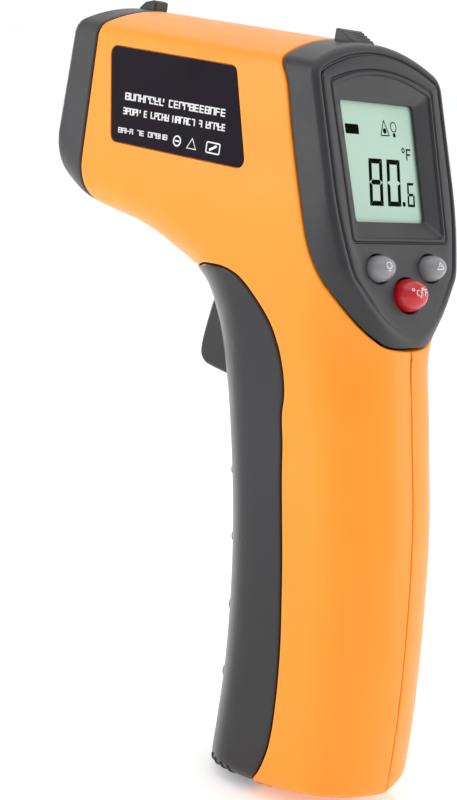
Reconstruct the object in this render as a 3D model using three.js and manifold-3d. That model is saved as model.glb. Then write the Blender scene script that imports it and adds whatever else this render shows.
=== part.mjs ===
import * as THREE from 'three';
import { mergeVertices } from 'three/addons/utils/BufferGeometryUtils.js';
import Module from 'manifold-3d';

// Pistol-grip infrared thermometer. Millimetres, +Y the measuring direction, +Z up,
// +X the user's right, origin under the middle of the bounding box.
const wasm = await Module();
wasm.setup();

// ---- driving dimensions --------------------------------------------------------------
const TOP = 150.9;              // crest of the barrel
const BARREL_HALF = 21.1;       // half width of the barrel
const NOSE_HALF_LOSS = 1.2;     // how much narrower the barrel is at the nose
const GRIP_HALF = 15.8;         // half width of the grip
const WALL = 2.0;               // moulded wall
const GAP = 0.3;                // clearance between neighbouring pieces
const FACE_TILT = Math.atan(0.366);
const FACE_ORIGIN = new THREE.Vector3(0, -18.65, 146.0);
const NOSE_SEAM = 38.6;
const NOSE_FACE = 47.0;         // nose face at height NOSE_FACE_Z, leaning back above it
const NOSE_FACE_Z = 122.0;
const NOSE_LEAN = 0.045;
const FUNNEL_Z = 129.5;
const FUNNEL_HOLE = 10.2;
const LASER_Z = 144.8;
const LASER_RADIUS = 3.0;
const TRIGGER_PIVOT = [2.5, 109.0];
const TRIGGER_HALF = 4.0;
const HINGE = [-24.0, 3.75];    // battery door hinge axis, (y, z)
const CELL_RADIUS = 5.25;
const CELL_LENGTH = 44.5;
const CELL_X = 5.6;
const TRAY_CENTRE = [-17.5, 40.0];
const TRAY_TILT = THREE.MathUtils.degToRad(6.5);
// Oval keys: half width, height over width, dome height.
const BUTTONS = {
  button_left: { u: -8.6, v: -38.2, r: 3.3, flat: 0.77, height: 3.2 },
  button_right: { u: 8.6, v: -38.2, r: 3.3, flat: 0.77, height: 3.2 },
  button_unit: { u: 0, v: -43.4, r: 4.05, flat: 0.79, height: 3.8 },
};
const CASE_SCREWS = [[26, 112.6], [8, 140.6], [-9, 112], [-32, 79], [-34.5, 40], [-35.5, 14]];
const BOARD_SCREWS = [[-11, -0.6], [11, -0.6], [0, -51]];
const RIB_Z = [63.8, 50.5, 36.7, 22.6];
const NOSE_EDGE = [47.35, 113.52]; // lower front edge of the nose, (y, z)
const TOE = [-8.66, 3.17];       // lowest point at the front of the door, (y, z)
const REST_FLAT = 0.08;          // depth of the small flats across those two

// Side outline, each point [y, z, crown radius, corner radius].
const FRONT_LINE = [
  [62, 121, 40, 8], [54, 117, 40, 8], [47.2, 112, 40, 8], [41.5, 108.9, 40, 8],
  [34.4, 107.6, 40, 8], [28.5, 106.8, 40, 8], [22.6, 105.2, 36, 8], [17, 102.9, 32, 8],
  [12, 100.2, 26, 8], [8.9, 97.2, 22, 8], [6.6, 93, 20, 8], [4.5, 87.9, 18.5, 8],
  [2.6, 81.9, 17.5, 8], [0.9, 76, 17, 8], [-2.9, 61.1, 17, 8], [-6, 44.9, 17, 8],
  [-7.9, 28.3, 17, 8], [-8.4, 13.2, 17, 8], [-8.2, -8, 17, 8],
];
const REAR_LINE = [
  [-41, 165, 24, 10], [-41, 112, 24, 10], [-40.3, 106, 24, 10], [-38.6, 101.5, 22, 10],
  [-37.2, 98, 21, 10], [-36.7, 95, 20, 10], [-37.3, 90.6, 19, 10], [-38.7, 84.8, 19, 10],
  [-40.4, 77.2, 19, 10], [-43.8, 61.7, 19, 10], [-46.1, 45.7, 19, 10], [-47.7, 29.5, 19, 10],
  [-48.4, 14.7, 19, 10], [-48.2, -8, 19, 10],
];
const BOTTOM_LINE = [
  [12, 7, 40, 5], [0, 3.9, 40, 5], [-6, 2.8, 40, 4], [-12, 2.5, 40, 4], [-18, 2.5, 40, 4],
  [-24, 2.5, 40, 4], [-33, 3.6, 40, 4], [-41, 5.3, 40, 4], [-49, 8, 40, 4], [-60, 12, 40, 4],
];
const BEZEL_SEAM = [
  [-7.4, 154], [-10.1, 146.4], [-12.7, 142.1], [-15, 135], [-17.5, 127.9], [-20.1, 120.9],
  [-22.7, 113.8], [-24.5, 110.4], [-27, 107], [-29.6, 103.8], [-31.9, 100.4], [-34.3, 97],
  [-36.3, 95.2], [-42, 94],
];
const DOOR_SEAM = [
  [20, 101.6], [8, 102.8], [3.4, 104.1], [-1.9, 104.7], [-5, 104.3], [-7.7, 103.2], [-10.4, 101.2],
  [-13.3, 98.6], [-15.6, 96], [-17.1, 93.4], [-18.3, 90.7], [-19.4, 87], [-20, 83.1],
  [-19.9, 79.7], [-20.3, 76.8], [-20.9, 74], [-22.2, 66.7], [-23.8, 59.1], [-25.4, 51.4],
  [-26.8, 43.7], [-28.1, 35.9], [-29, 28.1], [-29.5, 20.1], [-29.4, 14.9], [-28.9, 11.7],
  [-27.8, 8.2], [-26.1, 5.8], [-24.8, 4.2], [-24, 2.4], [-24, -3],
];
const FUNNEL_PROFILE = [
  [10.2, 43.7], [11.4, 43.7], [11.4, 42.2], [10.4, 42.2], [8.4, 27], [8.4, 14.4], [6.2, 14.4],
  [6.2, 26.6], [7.2, 26.6], [7.2, 31], [8.4, 31], [8.4, 36.5], [9.4, 36.5],
];

// ---- small helpers --------------------------------------------------------------------
const group = new THREE.Group();

function toSolid(geometry) {
  const bare = new THREE.BufferGeometry();
  bare.setAttribute('position', geometry.getAttribute('position').clone());
  if (geometry.index) bare.setIndex(geometry.index.clone());
  const merged = mergeVertices(bare, 1e-4);
  return new wasm.Manifold(new wasm.Mesh({
    numProp: 3,
    vertProperties: new Float32Array(merged.attributes.position.array),
    triVerts: new Uint32Array(merged.index.array),
  }));
}

function toGeometry(solid) {
  const mesh = solid.getMesh();
  const geometry = new THREE.BufferGeometry();
  geometry.setAttribute('position', new THREE.BufferAttribute(new Float32Array(mesh.vertProperties), 3));
  geometry.setIndex(new THREE.BufferAttribute(new Uint32Array(mesh.triVerts), 1));
  geometry.computeVertexNormals();
  return geometry;
}

function put(name, solid, colour, roughness = 0.6, metalness = 0) {
  const material = new THREE.MeshStandardMaterial({ color: colour, roughness, metalness });
  const mesh = new THREE.Mesh(toGeometry(solid), material);
  mesh.name = name;
  group.add(mesh);
}

function placed(geometry, matrix) {
  geometry.applyMatrix4(matrix);
  return toSolid(geometry);
}

function box(x0, x1, y0, y1, z0, z1) {
  const geometry = new THREE.BoxGeometry(x1 - x0, y1 - y0, z1 - z0);
  geometry.translate((x0 + x1) / 2, (y0 + y1) / 2, (z0 + z1) / 2);
  return toSolid(geometry);
}

// Frames map a local (a, b, depth) onto the object.
const X = new THREE.Vector3(1, 0, 0);
const SIDE = new THREE.Matrix4().makeBasis(
  new THREE.Vector3(0, 1, 0), new THREE.Vector3(0, 0, 1), X);
const FACE_UP = new THREE.Vector3(0, Math.sin(FACE_TILT), Math.cos(FACE_TILT));
const FACE_OUT = new THREE.Vector3(0, -Math.cos(FACE_TILT), Math.sin(FACE_TILT));
const FACE = new THREE.Matrix4().makeBasis(X, FACE_UP, FACE_OUT).setPosition(FACE_ORIGIN);
const TRAY_UP = new THREE.Vector3(0, Math.sin(TRAY_TILT), Math.cos(TRAY_TILT));
const TRAY_OUT = new THREE.Vector3(0, -Math.cos(TRAY_TILT), Math.sin(TRAY_TILT));
const TRAY = new THREE.Matrix4().makeBasis(X, TRAY_UP, TRAY_OUT)
  .setPosition(0, TRAY_CENTRE[0], TRAY_CENTRE[1]);
const FORWARD = new THREE.Matrix4().makeBasis(
  X, new THREE.Vector3(0, 0, -1), new THREE.Vector3(0, 1, 0));

// Polygon extruded along the third axis of a frame, from d0 to d1.
function prism(points, d0, d1, frame = SIDE) {
  const shape = new THREE.Shape(points.map((p) => new THREE.Vector2(p[0], p[1])));
  const geometry = new THREE.ExtrudeGeometry(shape, { depth: d1 - d0, bevelEnabled: false });
  geometry.translate(0, 0, d0);
  return placed(geometry, frame);
}

function rect(a0, a1, b0, b1) {
  return [[a0, b0], [a1, b0], [a1, b1], [a0, b1]];
}

// Lathe about the third axis of a frame; profile points are [radius, height].
function turned(profile, frame, a = 0, b = 0, segments = 24) {
  const closed = profile[0][0] === 0 ? profile : [...profile, profile[0]];
  const points = closed.map((p) => new THREE.Vector2(p[0], p[1]));
  const geometry = new THREE.LatheGeometry(points, segments);
  geometry.rotateX(Math.PI / 2);
  geometry.translate(a, b, 0);
  const solid = placed(geometry, frame);
  return solid.volume() < 0 ? flipped(profile, frame, a, b, segments) : solid;
}

function flipped(profile, frame, a, b, segments) {
  return turned([...profile].reverse(), frame, a, b, segments);
}

function disc(radius, d0, d1, frame, a = 0, b = 0, segments = 16) {
  const profile = [[0, d0], [radius, d0], [radius, d1], [0, d1]];
  return turned(profile, frame, a, b, segments);
}

function sweep(points, section, steps) {
  const curve = new THREE.CatmullRomCurve3(points.map((p) => new THREE.Vector3(...p)));
  const shape = new THREE.Shape(section.map((p) => new THREE.Vector2(p[0], p[1])));
  const geometry = new THREE.ExtrudeGeometry(shape, { steps, extrudePath: curve });
  const solid = toSolid(geometry);
  return solid;
}

function roundSection(radius, sides) {
  const points = [];
  for (let i = 0; i < sides; i += 1) {
    const angle = (2 * Math.PI * i) / sides;
    points.push([radius * Math.cos(angle), radius * Math.sin(angle)]);
  }
  return points;
}

// ---- outer form ------------------------------------------------------------------------
function smooth(points, steps) {
  const out = [];
  const end = points.length - 1;
  for (let i = 0; i < end; i += 1) {
    const a = points[Math.max(i - 1, 0)];
    const b = points[i];
    const c = points[i + 1];
    const d = points[Math.min(i + 2, end)];
    for (let s = 0; s < steps; s += 1) {
      const t = s / steps;
      out.push(b.map((_, k) => 0.5 * (2 * b[k] + (c[k] - a[k]) * t
        + (2 * a[k] - 5 * b[k] + 4 * c[k] - d[k]) * t * t
        + (3 * b[k] - a[k] - 3 * c[k] + d[k]) * t * t * t)));
    }
  }
  out.push(points[end]);
  return out;
}

const CURVES = [
  { line: smooth(FRONT_LINE, 4), inside: -1 },
  { line: smooth(REAR_LINE, 4), inside: 1 },
  { line: smooth(BOTTOM_LINE, 4), inside: -1 },
];

function nearest({ line, inside }, y, z) {
  let best = { d: Infinity };
  for (let i = 0; i + 1 < line.length; i += 1) {
    const a = line[i];
    const b = line[i + 1];
    const dy = b[0] - a[0];
    const dz = b[1] - a[1];
    const t = THREE.MathUtils.clamp(((y - a[0]) * dy + (z - a[1]) * dz) / (dy * dy + dz * dz), 0, 1);
    const vy = y - a[0] - t * dy;
    const vz = z - a[1] - t * dz;
    const d = Math.hypot(vy, vz);
    if (d < best.d) {
      const side = Math.sign(dy * vz - dz * vy) * inside;
      best = { d, side, crown: a[2] + t * (b[2] - a[2]), corner: a[3] + t * (b[3] - a[3]) };
    }
  }
  return { ...best, d: best.d * best.side };
}

// Half width at depth d under a crowned edge: crown arc, corner arc, then the flat side.
function profile(d, half, crown, corner) {
  if (d <= 0) return 0;
  const arch = Math.max(crown, half + 1.5);
  const cx = half - corner;
  const flat = arch - Math.sqrt(Math.max((arch - corner) ** 2 - cx * cx, 0));
  const joinX = (cx * arch) / (arch - corner);
  const join = arch - Math.sqrt(Math.max(arch * arch - joinX * joinX, 0));
  if (d < join) return Math.sqrt(Math.max(arch * arch - (arch - d) ** 2, 0));
  if (d < flat) return cx + Math.sqrt(Math.max(corner * corner - (flat - d) ** 2, 0));
  return half;
}

const faceY = (z) => FACE_ORIGIN.y - Math.tan(FACE_TILT) * (FACE_ORIGIN.z - z);
const noseY = (z) => NOSE_FACE - NOSE_LEAN * (z - NOSE_FACE_Z);

function fillet(d, radius) {
  if (d >= radius) return 0;
  return radius * (1 - Math.sqrt(1 - (1 - Math.max(d, 0) / radius) ** 2));
}

function sideHalf(y, z) {
  const rise = THREE.MathUtils.smoothstep(z, 72, 122);
  const barrel = BARREL_HALF - NOSE_HALF_LOSS * THREE.MathUtils.smoothstep(y, 0, 47);
  return GRIP_HALF + (barrel - GRIP_HALF) * rise;
}

function halfWidth(y, z, inset) {
  const half = sideHalf(y, z) - inset;
  let loss = (1 - profile(TOP - z - inset, half, 46 - inset, 3.5) / half) ** 2;
  for (const curve of CURVES) {
    const { d, crown, corner } = nearest(curve, y, z);
    const round = Math.max(corner - inset, 1);
    loss += (1 - profile(d - inset, half, crown - inset, round) / half) ** 2;
  }
  const rim = fillet((y - faceY(z)) * Math.cos(FACE_TILT) - inset, 1.3) + fillet(noseY(z) - y - inset, 1.6);
  return half * (1 - Math.sqrt(loss)) - rim;
}

const THIN = 0.35;
const STATIONS = [0, 0.9, 3, 8];
const ROWS = [
  2.6, 3.2, 4.3, 6, 8, 11, 15, 34, 58, 74, 84, 91, 96.5, 100.5, 103, 105, 107, 109.5, 113.5, 120, 132,
  143, 146.6, 148.6, 150, 150.8,
];
const INNER_ROWS = [2.6, 4.4, 8, 12, 34, 62, 80, 92, 100, 104, 107.5, 112, 120, 143, 147, 150.8];

function edgeOf(y0, limit, z, inset) {
  if (halfWidth(limit, z, inset) > THIN) return limit;
  let inside = y0;
  let outside = limit;
  for (let i = 0; i < 30; i += 1) {
    const middle = (inside + outside) / 2;
    if (halfWidth(middle, z, inset) > THIN) inside = middle;
    else outside = middle;
  }
  return inside;
}

function ring(z, inset) {
  const seed = -24 + Math.max(0, z - 30) * 0.17;
  const back = z > 95 ? faceY(z) + inset / Math.cos(FACE_TILT) : -60;
  const front = edgeOf(seed, noseY(z) - inset, z, inset);
  const rear = edgeOf(seed, back, z, inset);
  const scale = Math.min(1, (front - rear) / 2 / 12);
  const ys = STATIONS.map((s) => rear + s * scale);
  ys.push((front + rear) / 2, ...STATIONS.map((s) => front - s * scale).reverse());
  const right = ys.map((y) => [Math.max(halfWidth(y, z, inset), THIN), y, z]);
  return { right, left: right.map(([x, y, h]) => [-x, y, h]) };
}

function envelope(inset, rows = ROWS) {
  const low = rows[0] + inset;
  const high = rows[rows.length - 1] - inset;
  const span = rows[rows.length - 1] - rows[0];
  const rings = rows.map((z) => ring(low + ((z - rows[0]) * (high - low)) / span, inset));
  const count = rings[0].right.length;
  const vertices = [];
  const triangles = [];
  const around = 2 * count;
  rings.forEach(({ right, left }) => vertices.push(...right, ...[...left].reverse()));
  const quad = (a, b, c, d) => triangles.push(a, b, c, a, c, d);
  for (let r = 0; r + 1 < rings.length; r += 1) {
    for (let i = 0; i < around; i += 1) {
      const j = (i + 1) % around;
      quad(r * around + i, r * around + j, (r + 1) * around + j, (r + 1) * around + i);
    }
  }
  const last = (rings.length - 1) * around;
  for (let i = 0; i + 1 < count; i += 1) {
    const mirror = around - 1 - i;
    quad(i, mirror, mirror - 1, i + 1);
    quad(last + i, last + i + 1, last + mirror - 1, last + mirror);
  }
  const geometry = new THREE.BufferGeometry();
  geometry.setAttribute('position', new THREE.Float32BufferAttribute(vertices.flat(), 3));
  geometry.setIndex(triangles);
  return toSolid(geometry);
}

// A seam moved sideways by a distance, positive to the left of its direction.
function shifted(line, distance) {
  return line.map((p, i) => {
    const a = line[Math.max(i - 1, 0)];
    const b = line[Math.min(i + 1, line.length - 1)];
    const length = Math.hypot(b[0] - a[0], b[1] - a[1]);
    return [p[0] - ((b[1] - a[1]) / length) * distance, p[1] + ((b[0] - a[0]) / length) * distance];
  });
}

const outer = envelope(0);
const inner = envelope(WALL, INNER_ROWS);
const labelOutline = [[32.6, 143], [33.9, 141.4], [30.9, 125.6], [29, 124], [-3.6, 124.2], [-5.4, 126],
  [-0.4, 142], [1.4, 143.1]];
const labelRecess = prism(labelOutline, 10, 30).subtract(envelope(0.5));
const skin = outer.subtract(inner);
const bezelSide = prism([...shifted(BEZEL_SEAM, -GAP / 2), [-80, 94], [-80, 160]], -30, 30);
const bezelKeepOut = prism([...shifted(BEZEL_SEAM, GAP / 2), [-80, 94], [-80, 160]], -30, 30);
const doorSide = prism([...shifted(DOOR_SEAM, GAP / 2), [40, -3], [40, 103.6]], -30, 30);
const doorKeepOut = prism([...shifted(DOOR_SEAM, -GAP / 2), [40, -3], [40, 103.9]], -30, 30);
const noseSide = box(-30, 30, NOSE_SEAM + GAP / 2, 60, 90, 160);
const noseKeepOut = box(-30, 30, NOSE_SEAM - GAP / 2, 60, 90, 160);

// ---- housing ---------------------------------------------------------------------------
function frontSight() {
  const ramp = [[40.4, 149.5], [40.4, 152.7], [41.3, 153], [43.6, 152.4], [45.2, 151], [45.2, 149.5]];
  return prism(ramp, -2, 2);
}

// What lies beyond the plane on which the instrument comes to rest when it tips forward, near one
// of the two places that meet it: the nose's lower edge or the toe.
function beyondRest([y, z]) {
  const along = new THREE.Vector2(NOSE_EDGE[0] - TOE[0], NOSE_EDGE[1] - TOE[1]).normalize();
  const corner = (step, out) => [y + along.x * step + along.y * (out - REST_FLAT),
    z + along.y * step - along.x * (out - REST_FLAT)];
  return prism([corner(-6, 0), corner(-6, 3), corner(6, 3), corner(6, 0)], -30, 30);
}

function noseCap() {
  const hole = disc(FUNNEL_HOLE, 40, 60, FORWARD, 0, -FUNNEL_Z, 24);
  const laserHole = disc(1.9, 40, 60, FORWARD, 0, -LASER_Z, 14);
  const sight = frontSight().subtract(envelope(1.0));
  const cap = skin.intersect(noseSide).add(sight).subtract(beyondRest(NOSE_EDGE));
  return cap.subtract(hole).subtract(laserHole);
}

function wellOutline(grow) {
  const points = [[-15.2 - grow, -32.7 - grow], [15.2 + grow, -32.7 - grow], [16.2 + grow, -2.8]];
  for (let i = 5; i >= -5; i -= 1) {
    const u = (i / 6) * (16.2 + grow);
    points.push([u, -2.8 + grow + 2.6 * (1 - (i / 6) ** 2)]);
  }
  points.push([-16.2 - grow, -2.8]);
  return points;
}

// Frustum between the well mouth on the face and the display opening below it.
function displayWell() {
  const rim = wellOutline(0);
  const floor = wellOutline(0).map(([u, v]) => [
    THREE.MathUtils.clamp(u, -11.7, 11.7), THREE.MathUtils.clamp(v, -28.9, -5.6)]);
  const count = rim.length;
  const centre = [0, -17];
  const vertices = [];
  for (const [scale, depth, line] of [[1.02, 0.3, rim], [1, 0, rim], [1, -1.8, floor]]) {
    line.forEach(([u, v]) => vertices.push(u * scale, centre[1] + (v - centre[1]) * scale, depth));
  }
  vertices.push(centre[0], centre[1], 0.3, centre[0], centre[1], -1.8);
  const triangles = [];
  for (let i = 0; i < count; i += 1) {
    const j = (i + 1) % count;
    for (const r of [0, 1]) {
      const a = r * count + i;
      const b = r * count + j;
      triangles.push(a + count, b + count, b, a + count, b, a);
    }
    triangles.push(3 * count, i, j, 3 * count + 1, 2 * count + j, 2 * count + i);
  }
  const geometry = new THREE.BufferGeometry();
  geometry.setAttribute('position', new THREE.Float32BufferAttribute(vertices, 3));
  geometry.setIndex(triangles);
  return placed(geometry, FACE);
}

function rearSight() {
  const ramp = [[-8.9, 149.5], [-8.9, 152.8], [-9.9, 153], [-13.3, 151.2], [-13.3, 149.5]];
  return prism(ramp, -3.6, 3.6);
}

// Frame of an oval key: the face frame at its middle, squeezed upright.
function ovalFrame({ u, v, flat }) {
  const frame = FACE.clone().multiply(new THREE.Matrix4().makeTranslation(u, v, 0));
  return frame.multiply(new THREE.Matrix4().makeScale(1, flat, 1));
}

function rearBezel() {
  const boss = prism(rect(-17, 17, -33.2, 0.6), -3.2, -0.6, FACE).intersect(envelope(0.6));
  let bezel = skin.intersect(bezelSide).add(boss.intersect(bezelSide));
  bezel = bezel.add(rearSight().subtract(envelope(1.0)));
  const room = bezelSide.intersect(envelope(0.8)).add(envelope(WALL + GAP, INNER_ROWS));
  for (const [u, v] of BOARD_SCREWS) {
    bezel = bezel.add(disc(1.7, -7.7, -1, FACE, u, v, 12).intersect(room));
    bezel = bezel.subtract(disc(1.15, -8, -3.4, FACE, u, v, 10));
  }
  bezel = bezel.subtract(displayWell());
  bezel = bezel.subtract(prism(rect(-11.7, 11.7, -28.9, -5.6), -6, 0, FACE));
  bezel = bezel.subtract(prism(rect(-13.3, 13.3, -31.3, -2.7), -6, -2.3, FACE));
  for (const button of Object.values(BUTTONS)) {
    const hole = disc(button.r + 0.42, -4, 2, new THREE.Matrix4(), 0, 0, 20);
    bezel = bezel.subtract(hole.transform(ovalFrame(button).toArray()));
  }
  return bezel;
}

function doorRib(z) {
  const y = smooth(FRONT_LINE, 4).reduce((a, b) => (Math.abs(b[1] - z) < Math.abs(a[1] - z) ? b : a))[0];
  const geometry = new THREE.SphereGeometry(1, 16, 6);
  geometry.scale(12, 6.9, 1.1);
  geometry.translate(0, y - 6.3, z);
  return toSolid(geometry);
}

function batteryDoor() {
  let door = skin.intersect(doorSide);
  const slotWalls = box(-6, 6, -6, 20, 78, 103.6).subtract(box(-4.9, 4.9, -30, 30, 70, 120));
  door = door.add(slotWalls.intersect(envelope(0.4)).intersect(doorSide));
  for (const z of RIB_Z) {
    door = door.add(doorRib(z).subtract(envelope(1)));
  }
  door = door.subtract(box(-4.6, 4.6, -7, 30, 79.6, 110));
  door = door.subtract(box(-9.3, 9.3, -30, HINGE[0] + 1.5, -3, HINGE[1] + 4.75));
  door = door.subtract(beyondRest(TOE));
  for (const side of [-1, 1]) {
    const [hingeY, hingeZ] = HINGE;
    const knuckle = prism([[hingeY + 2, hingeZ - 0.95], [hingeY + 2, hingeZ + 0.95],
      [hingeY, hingeZ + 1.05], [hingeY, hingeZ - 0.95]], 2.3, 5.9);
    const barrel = disc(1.2, 2.3, 5.9, SIDE, ...HINGE, 14);
    const bore = disc(0.75, 2, 6.2, SIDE, ...HINGE, 12);
    const lug = knuckle.add(barrel).subtract(bore);
    door = door.add(side > 0 ? lug : lug.mirror([1, 0, 0]));
  }
  return door;
}

// One half of the casing, shaped on the side x > 0; the left half carries the label recess.
function casingHalf(side) {
  const half = box(GAP / 2, 30, -60, 60, -5, 160);
  let shell = skin.subtract(noseKeepOut).subtract(bezelKeepOut).subtract(doorKeepOut);
  shell = shell.intersect(half);
  if (side < 0) shell = shell.subtract(labelRecess);
  const room = envelope(1.2).intersect(half);
  const ribs = [
    box(GAP / 2, 10, -24.5, -10.1, 84, 86),
    box(GAP / 2, 25, -50, -20.8, 84, 86).subtract(box(-5, 5, -31, -24.5, 80, 90)),
    box(GAP / 2, 5, -11.7, -10.1, 84, 92.6),
    box(GAP / 2, 5, -15.6, -13.9, 85, 105),
    box(GAP / 2, 25, -50, -33, 19, 20.6),
    box(GAP / 2, 25, -50, -31.5, 59, 60.6),
    box(GAP / 2, 25, TRIGGER_PIVOT[0] - 3.2, TRIGGER_PIVOT[0] + 3.2, 106.6, 112)
      .subtract(box(-4.5, 4.5, -10, 20, 100, 120)),
  ];
  for (const rib of ribs) {
    shell = shell.add(rib.intersect(room));
  }
  for (const [y, z] of CASE_SCREWS) {
    shell = shell.add(disc(2.6, GAP / 2, 25, SIDE, y, z, 12).intersect(room));
    if (side > 0) {
      const wall = halfWidth(y, z, 0);
      shell = shell.subtract(disc(1.4, -1, 25, SIDE, y, z, 8));
      shell = shell.subtract(disc(2.5, wall - 3.2, 25, SIDE, y, z, 12));
    } else {
      shell = shell.subtract(disc(1.4, -1, 9, SIDE, y, z, 8));
    }
  }
  shell = shell.subtract(disc(1.15, -1, 9, SIDE, ...TRIGGER_PIVOT, 12));
  shell = shell.subtract(box(-4.4, 4.4, -3.6, 10.4, 98, 106.8));
  shell = shell.subtract(disc(1.6, -1, 6.2, SIDE, ...HINGE, 14));
  shell = shell.subtract(box(-6.2, 6.2, HINGE[0] - 1.6, HINGE[0] + 3, -3, HINGE[1] + 3.75));
  const barrel = disc(1.2, 6.2, 9, SIDE, ...HINGE, 14);
  const [hingeY, hingeZ] = HINGE;
  const root = prism([[hingeY - 3, hingeZ - 0.75], [hingeY, hingeZ - 0.95], [hingeY, hingeZ + 1.05],
    [hingeY - 3, hingeZ + 1.15]], 6.2, 9);
  shell = shell.add(barrel).add(root).subtract(disc(0.75, 5, 8.6, SIDE, ...HINGE, 12));
  return side > 0 ? shell : shell.mirror([1, 0, 0]);
}

put('left_shell', casingHalf(-1), 0xff9a2c, 0.45);
put('right_shell', casingHalf(1), 0xff9a2c, 0.45);
put('nose_cap', noseCap(), 0x3c3b40, 0.6);
put('rear_bezel', rearBezel(), 0x38373c, 0.55);
put('battery_door', batteryDoor(), 0x3c3b40, 0.6);
put('door_hinge_pin', disc(0.6, -8.3, 8.3, SIDE, ...HINGE, 10), 0xb9bcc0, 0.35, 1);

for (let i = 0; i < CASE_SCREWS.length; i += 1) {
  const [y, z] = CASE_SCREWS[i];
  const seat = halfWidth(y, z, 0) - 3.0;
  const screw = disc(2.2, seat, seat + 1.5, SIDE, y, z, 12)
    .add(disc(1.1, -7.5, seat + 0.2, SIDE, y, z, 8))
    .subtract(prism(rect(y - 0.3, y + 0.3, z - 1.6, z + 1.6), seat + 0.8, seat + 3))
    .subtract(prism(rect(y - 1.6, y + 1.6, z - 0.3, z + 0.3), seat + 0.8, seat + 3));
  put(`case_screw_${i + 1}`, screw, 0x8c8f94, 0.35, 1);
}

// Side label, a film lying in its recess in the left wall.
const labelFilm = labelOutline.map(([y, z]) => [14.2 + (y - 14.2) * 0.985, 133.5 + (z - 133.5) * 0.97]);
const film = envelope(0.08).subtract(envelope(0.32)).intersect(prism(labelFilm, -30, -10));
put('side_label', film, 0x26202a, 0.4);

// ---- trigger ---------------------------------------------------------------------------
const triggerSide = [
  [5.6, 106.6], [9.4, 101.6], [11.4, 96.5], [12.6, 90], [13.1, 85], [12.7, 82.7], [11.2, 81.6],
  [3.5, 80.5], [-0.5, 81], [-2.2, 82.6], [-2.4, 90], [-2, 98], [-0.9, 107],
];
let trigger = prism(triggerSide, -TRIGGER_HALF, TRIGGER_HALF)
  .add(disc(3.4, -TRIGGER_HALF, TRIGGER_HALF, SIDE, ...TRIGGER_PIVOT, 18))
  .subtract(disc(1.15, -6, 6, SIDE, ...TRIGGER_PIVOT, 12));
trigger = trigger.subtract(disc(2.7, -6, 1.2, FORWARD, 0, -86.5, 14));
put('trigger', trigger, 0x3a393e, 0.5);
put('trigger_pin', disc(1.0, -8.5, 8.5, SIDE, ...TRIGGER_PIVOT, 12), 0xb9bcc0, 0.35, 1);

function coil(from, to, radius, wire, turns, frame) {
  const points = [];
  const count = turns * 6;
  for (let i = 0; i <= count; i += 1) {
    const angle = (2 * Math.PI * turns * i) / count;
    const depth = from + ((to - from) * i) / count;
    const p = new THREE.Vector3(radius * Math.cos(angle), radius * Math.sin(angle), depth);
    points.push(p.applyMatrix4(frame).toArray());
  }
  return sweep(points, roundSection(wire, 4), count);
}

const springFrame = FORWARD.clone().setPosition(0, 0, 86.5);
put('trigger_spring', coil(-9.5, 0.6, 2.0, 0.28, 6, springFrame), 0xc3c6ca, 0.3, 1);

const switchBody = box(-3, 3, -13.6, -7, 93.2, 105).subtract(disc(1.1, -10.6, -6, FORWARD, 0, -98, 12));
put('trigger_switch', switchBody, 0x202124, 0.5);
put('switch_plunger', disc(0.8, -9.2, -2.5, FORWARD, 0, -98, 12), 0xb3261e, 0.4);

// ---- optics and laser ------------------------------------------------------------------
put('lens_tube', turned(FUNNEL_PROFILE, FORWARD, 0, -FUNNEL_Z, 24), 0x2c2c30, 0.5);
const lens = [[0, 22.6], [5.9, 22.6], [5.9, 24], [4, 24.6], [0, 24.9]];
put('ir_lens', turned(lens, FORWARD, 0, -FUNNEL_Z, 16), 0x8a8f96, 0.15, 0.3);
const lensRing = [[4.6, 20.8], [5.9, 20.8], [5.9, 22.3], [4.6, 22.3]];
put('lens_ring', turned(lensRing, FORWARD, 0, -FUNNEL_Z, 16), 0x9a9da2, 0.3, 1);
const can = [[0, 13.8], [4.6, 13.8], [4.6, 14.4], [4.1, 14.4], [4.1, 17.6], [1.6, 17.6],
  [1.6, 17.2], [0, 17.2]];
put('sensor_can', turned(can, FORWARD, 0, -FUNNEL_Z, 16), 0xb4b7bb, 0.25, 1);
put('sensor_board', box(-11, 11, 12.2, 13.5, FUNNEL_Z - 11, FUNNEL_Z + 11), 0x1f5a34, 0.5);
const module = [[0, 30], [LASER_RADIUS, 30], [LASER_RADIUS, 43.6], [1.4, 43.6], [1.4, 42], [0, 42]];
put('laser_module', turned(module, FORWARD, 0, -LASER_Z, 16), 0xb58b3c, 0.3, 1);
put('laser_lens', disc(1.1, 42.4, 43.2, FORWARD, 0, -LASER_Z, 12), 0xd8e4e8, 0.05);

// ---- display, keys and main board ------------------------------------------------------
put('lcd_glass', prism(rect(-13, 13, -31, -3), -4.2, -2.6, FACE), 0xbfdcc8, 0.15);
put('lcd_backlight', prism(rect(-12, 12, -29.4, -6.2), -7.4, -4.5, FACE), 0xe9efe9, 0.5);
put('lcd_connector', prism(rect(-11.5, 11.5, -5.6, -3.4), -7.7, -4.5, FACE), 0xc9c2c8, 0.8);
const boardOutline = [[-13.4, 1.4], [-13.4, -42], [-8.5, -48.5], [-3.4, -53.2], [3.4, -53.2],
  [8.5, -48.5], [13.4, -42], [13.4, 1.4]];
let board = prism(boardOutline, -9.6, -8, FACE);
for (const [u, v] of BOARD_SCREWS) {
  board = board.subtract(disc(1.2, -12, -6, FACE, u, v, 10));
}
put('main_board', board, 0x1f5a34, 0.5);
put('controller_chip', prism(rect(-4.5, 4.5, -26, -17), -11.4, -9.9, FACE), 0x1c1d20, 0.5);
BOARD_SCREWS.forEach(([u, v], i) => {
  const screw = disc(1.7, -11.2, -9.9, FACE, u, v, 12).add(disc(0.85, -10, -4.4, FACE, u, v, 10))
    .subtract(prism(rect(u - 1.2, u + 1.2, v - 0.22, v + 0.22), -12, -10.7, FACE));
  put(`board_screw_${i + 1}`, screw, 0x8c8f94, 0.35, 1);
});

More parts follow.
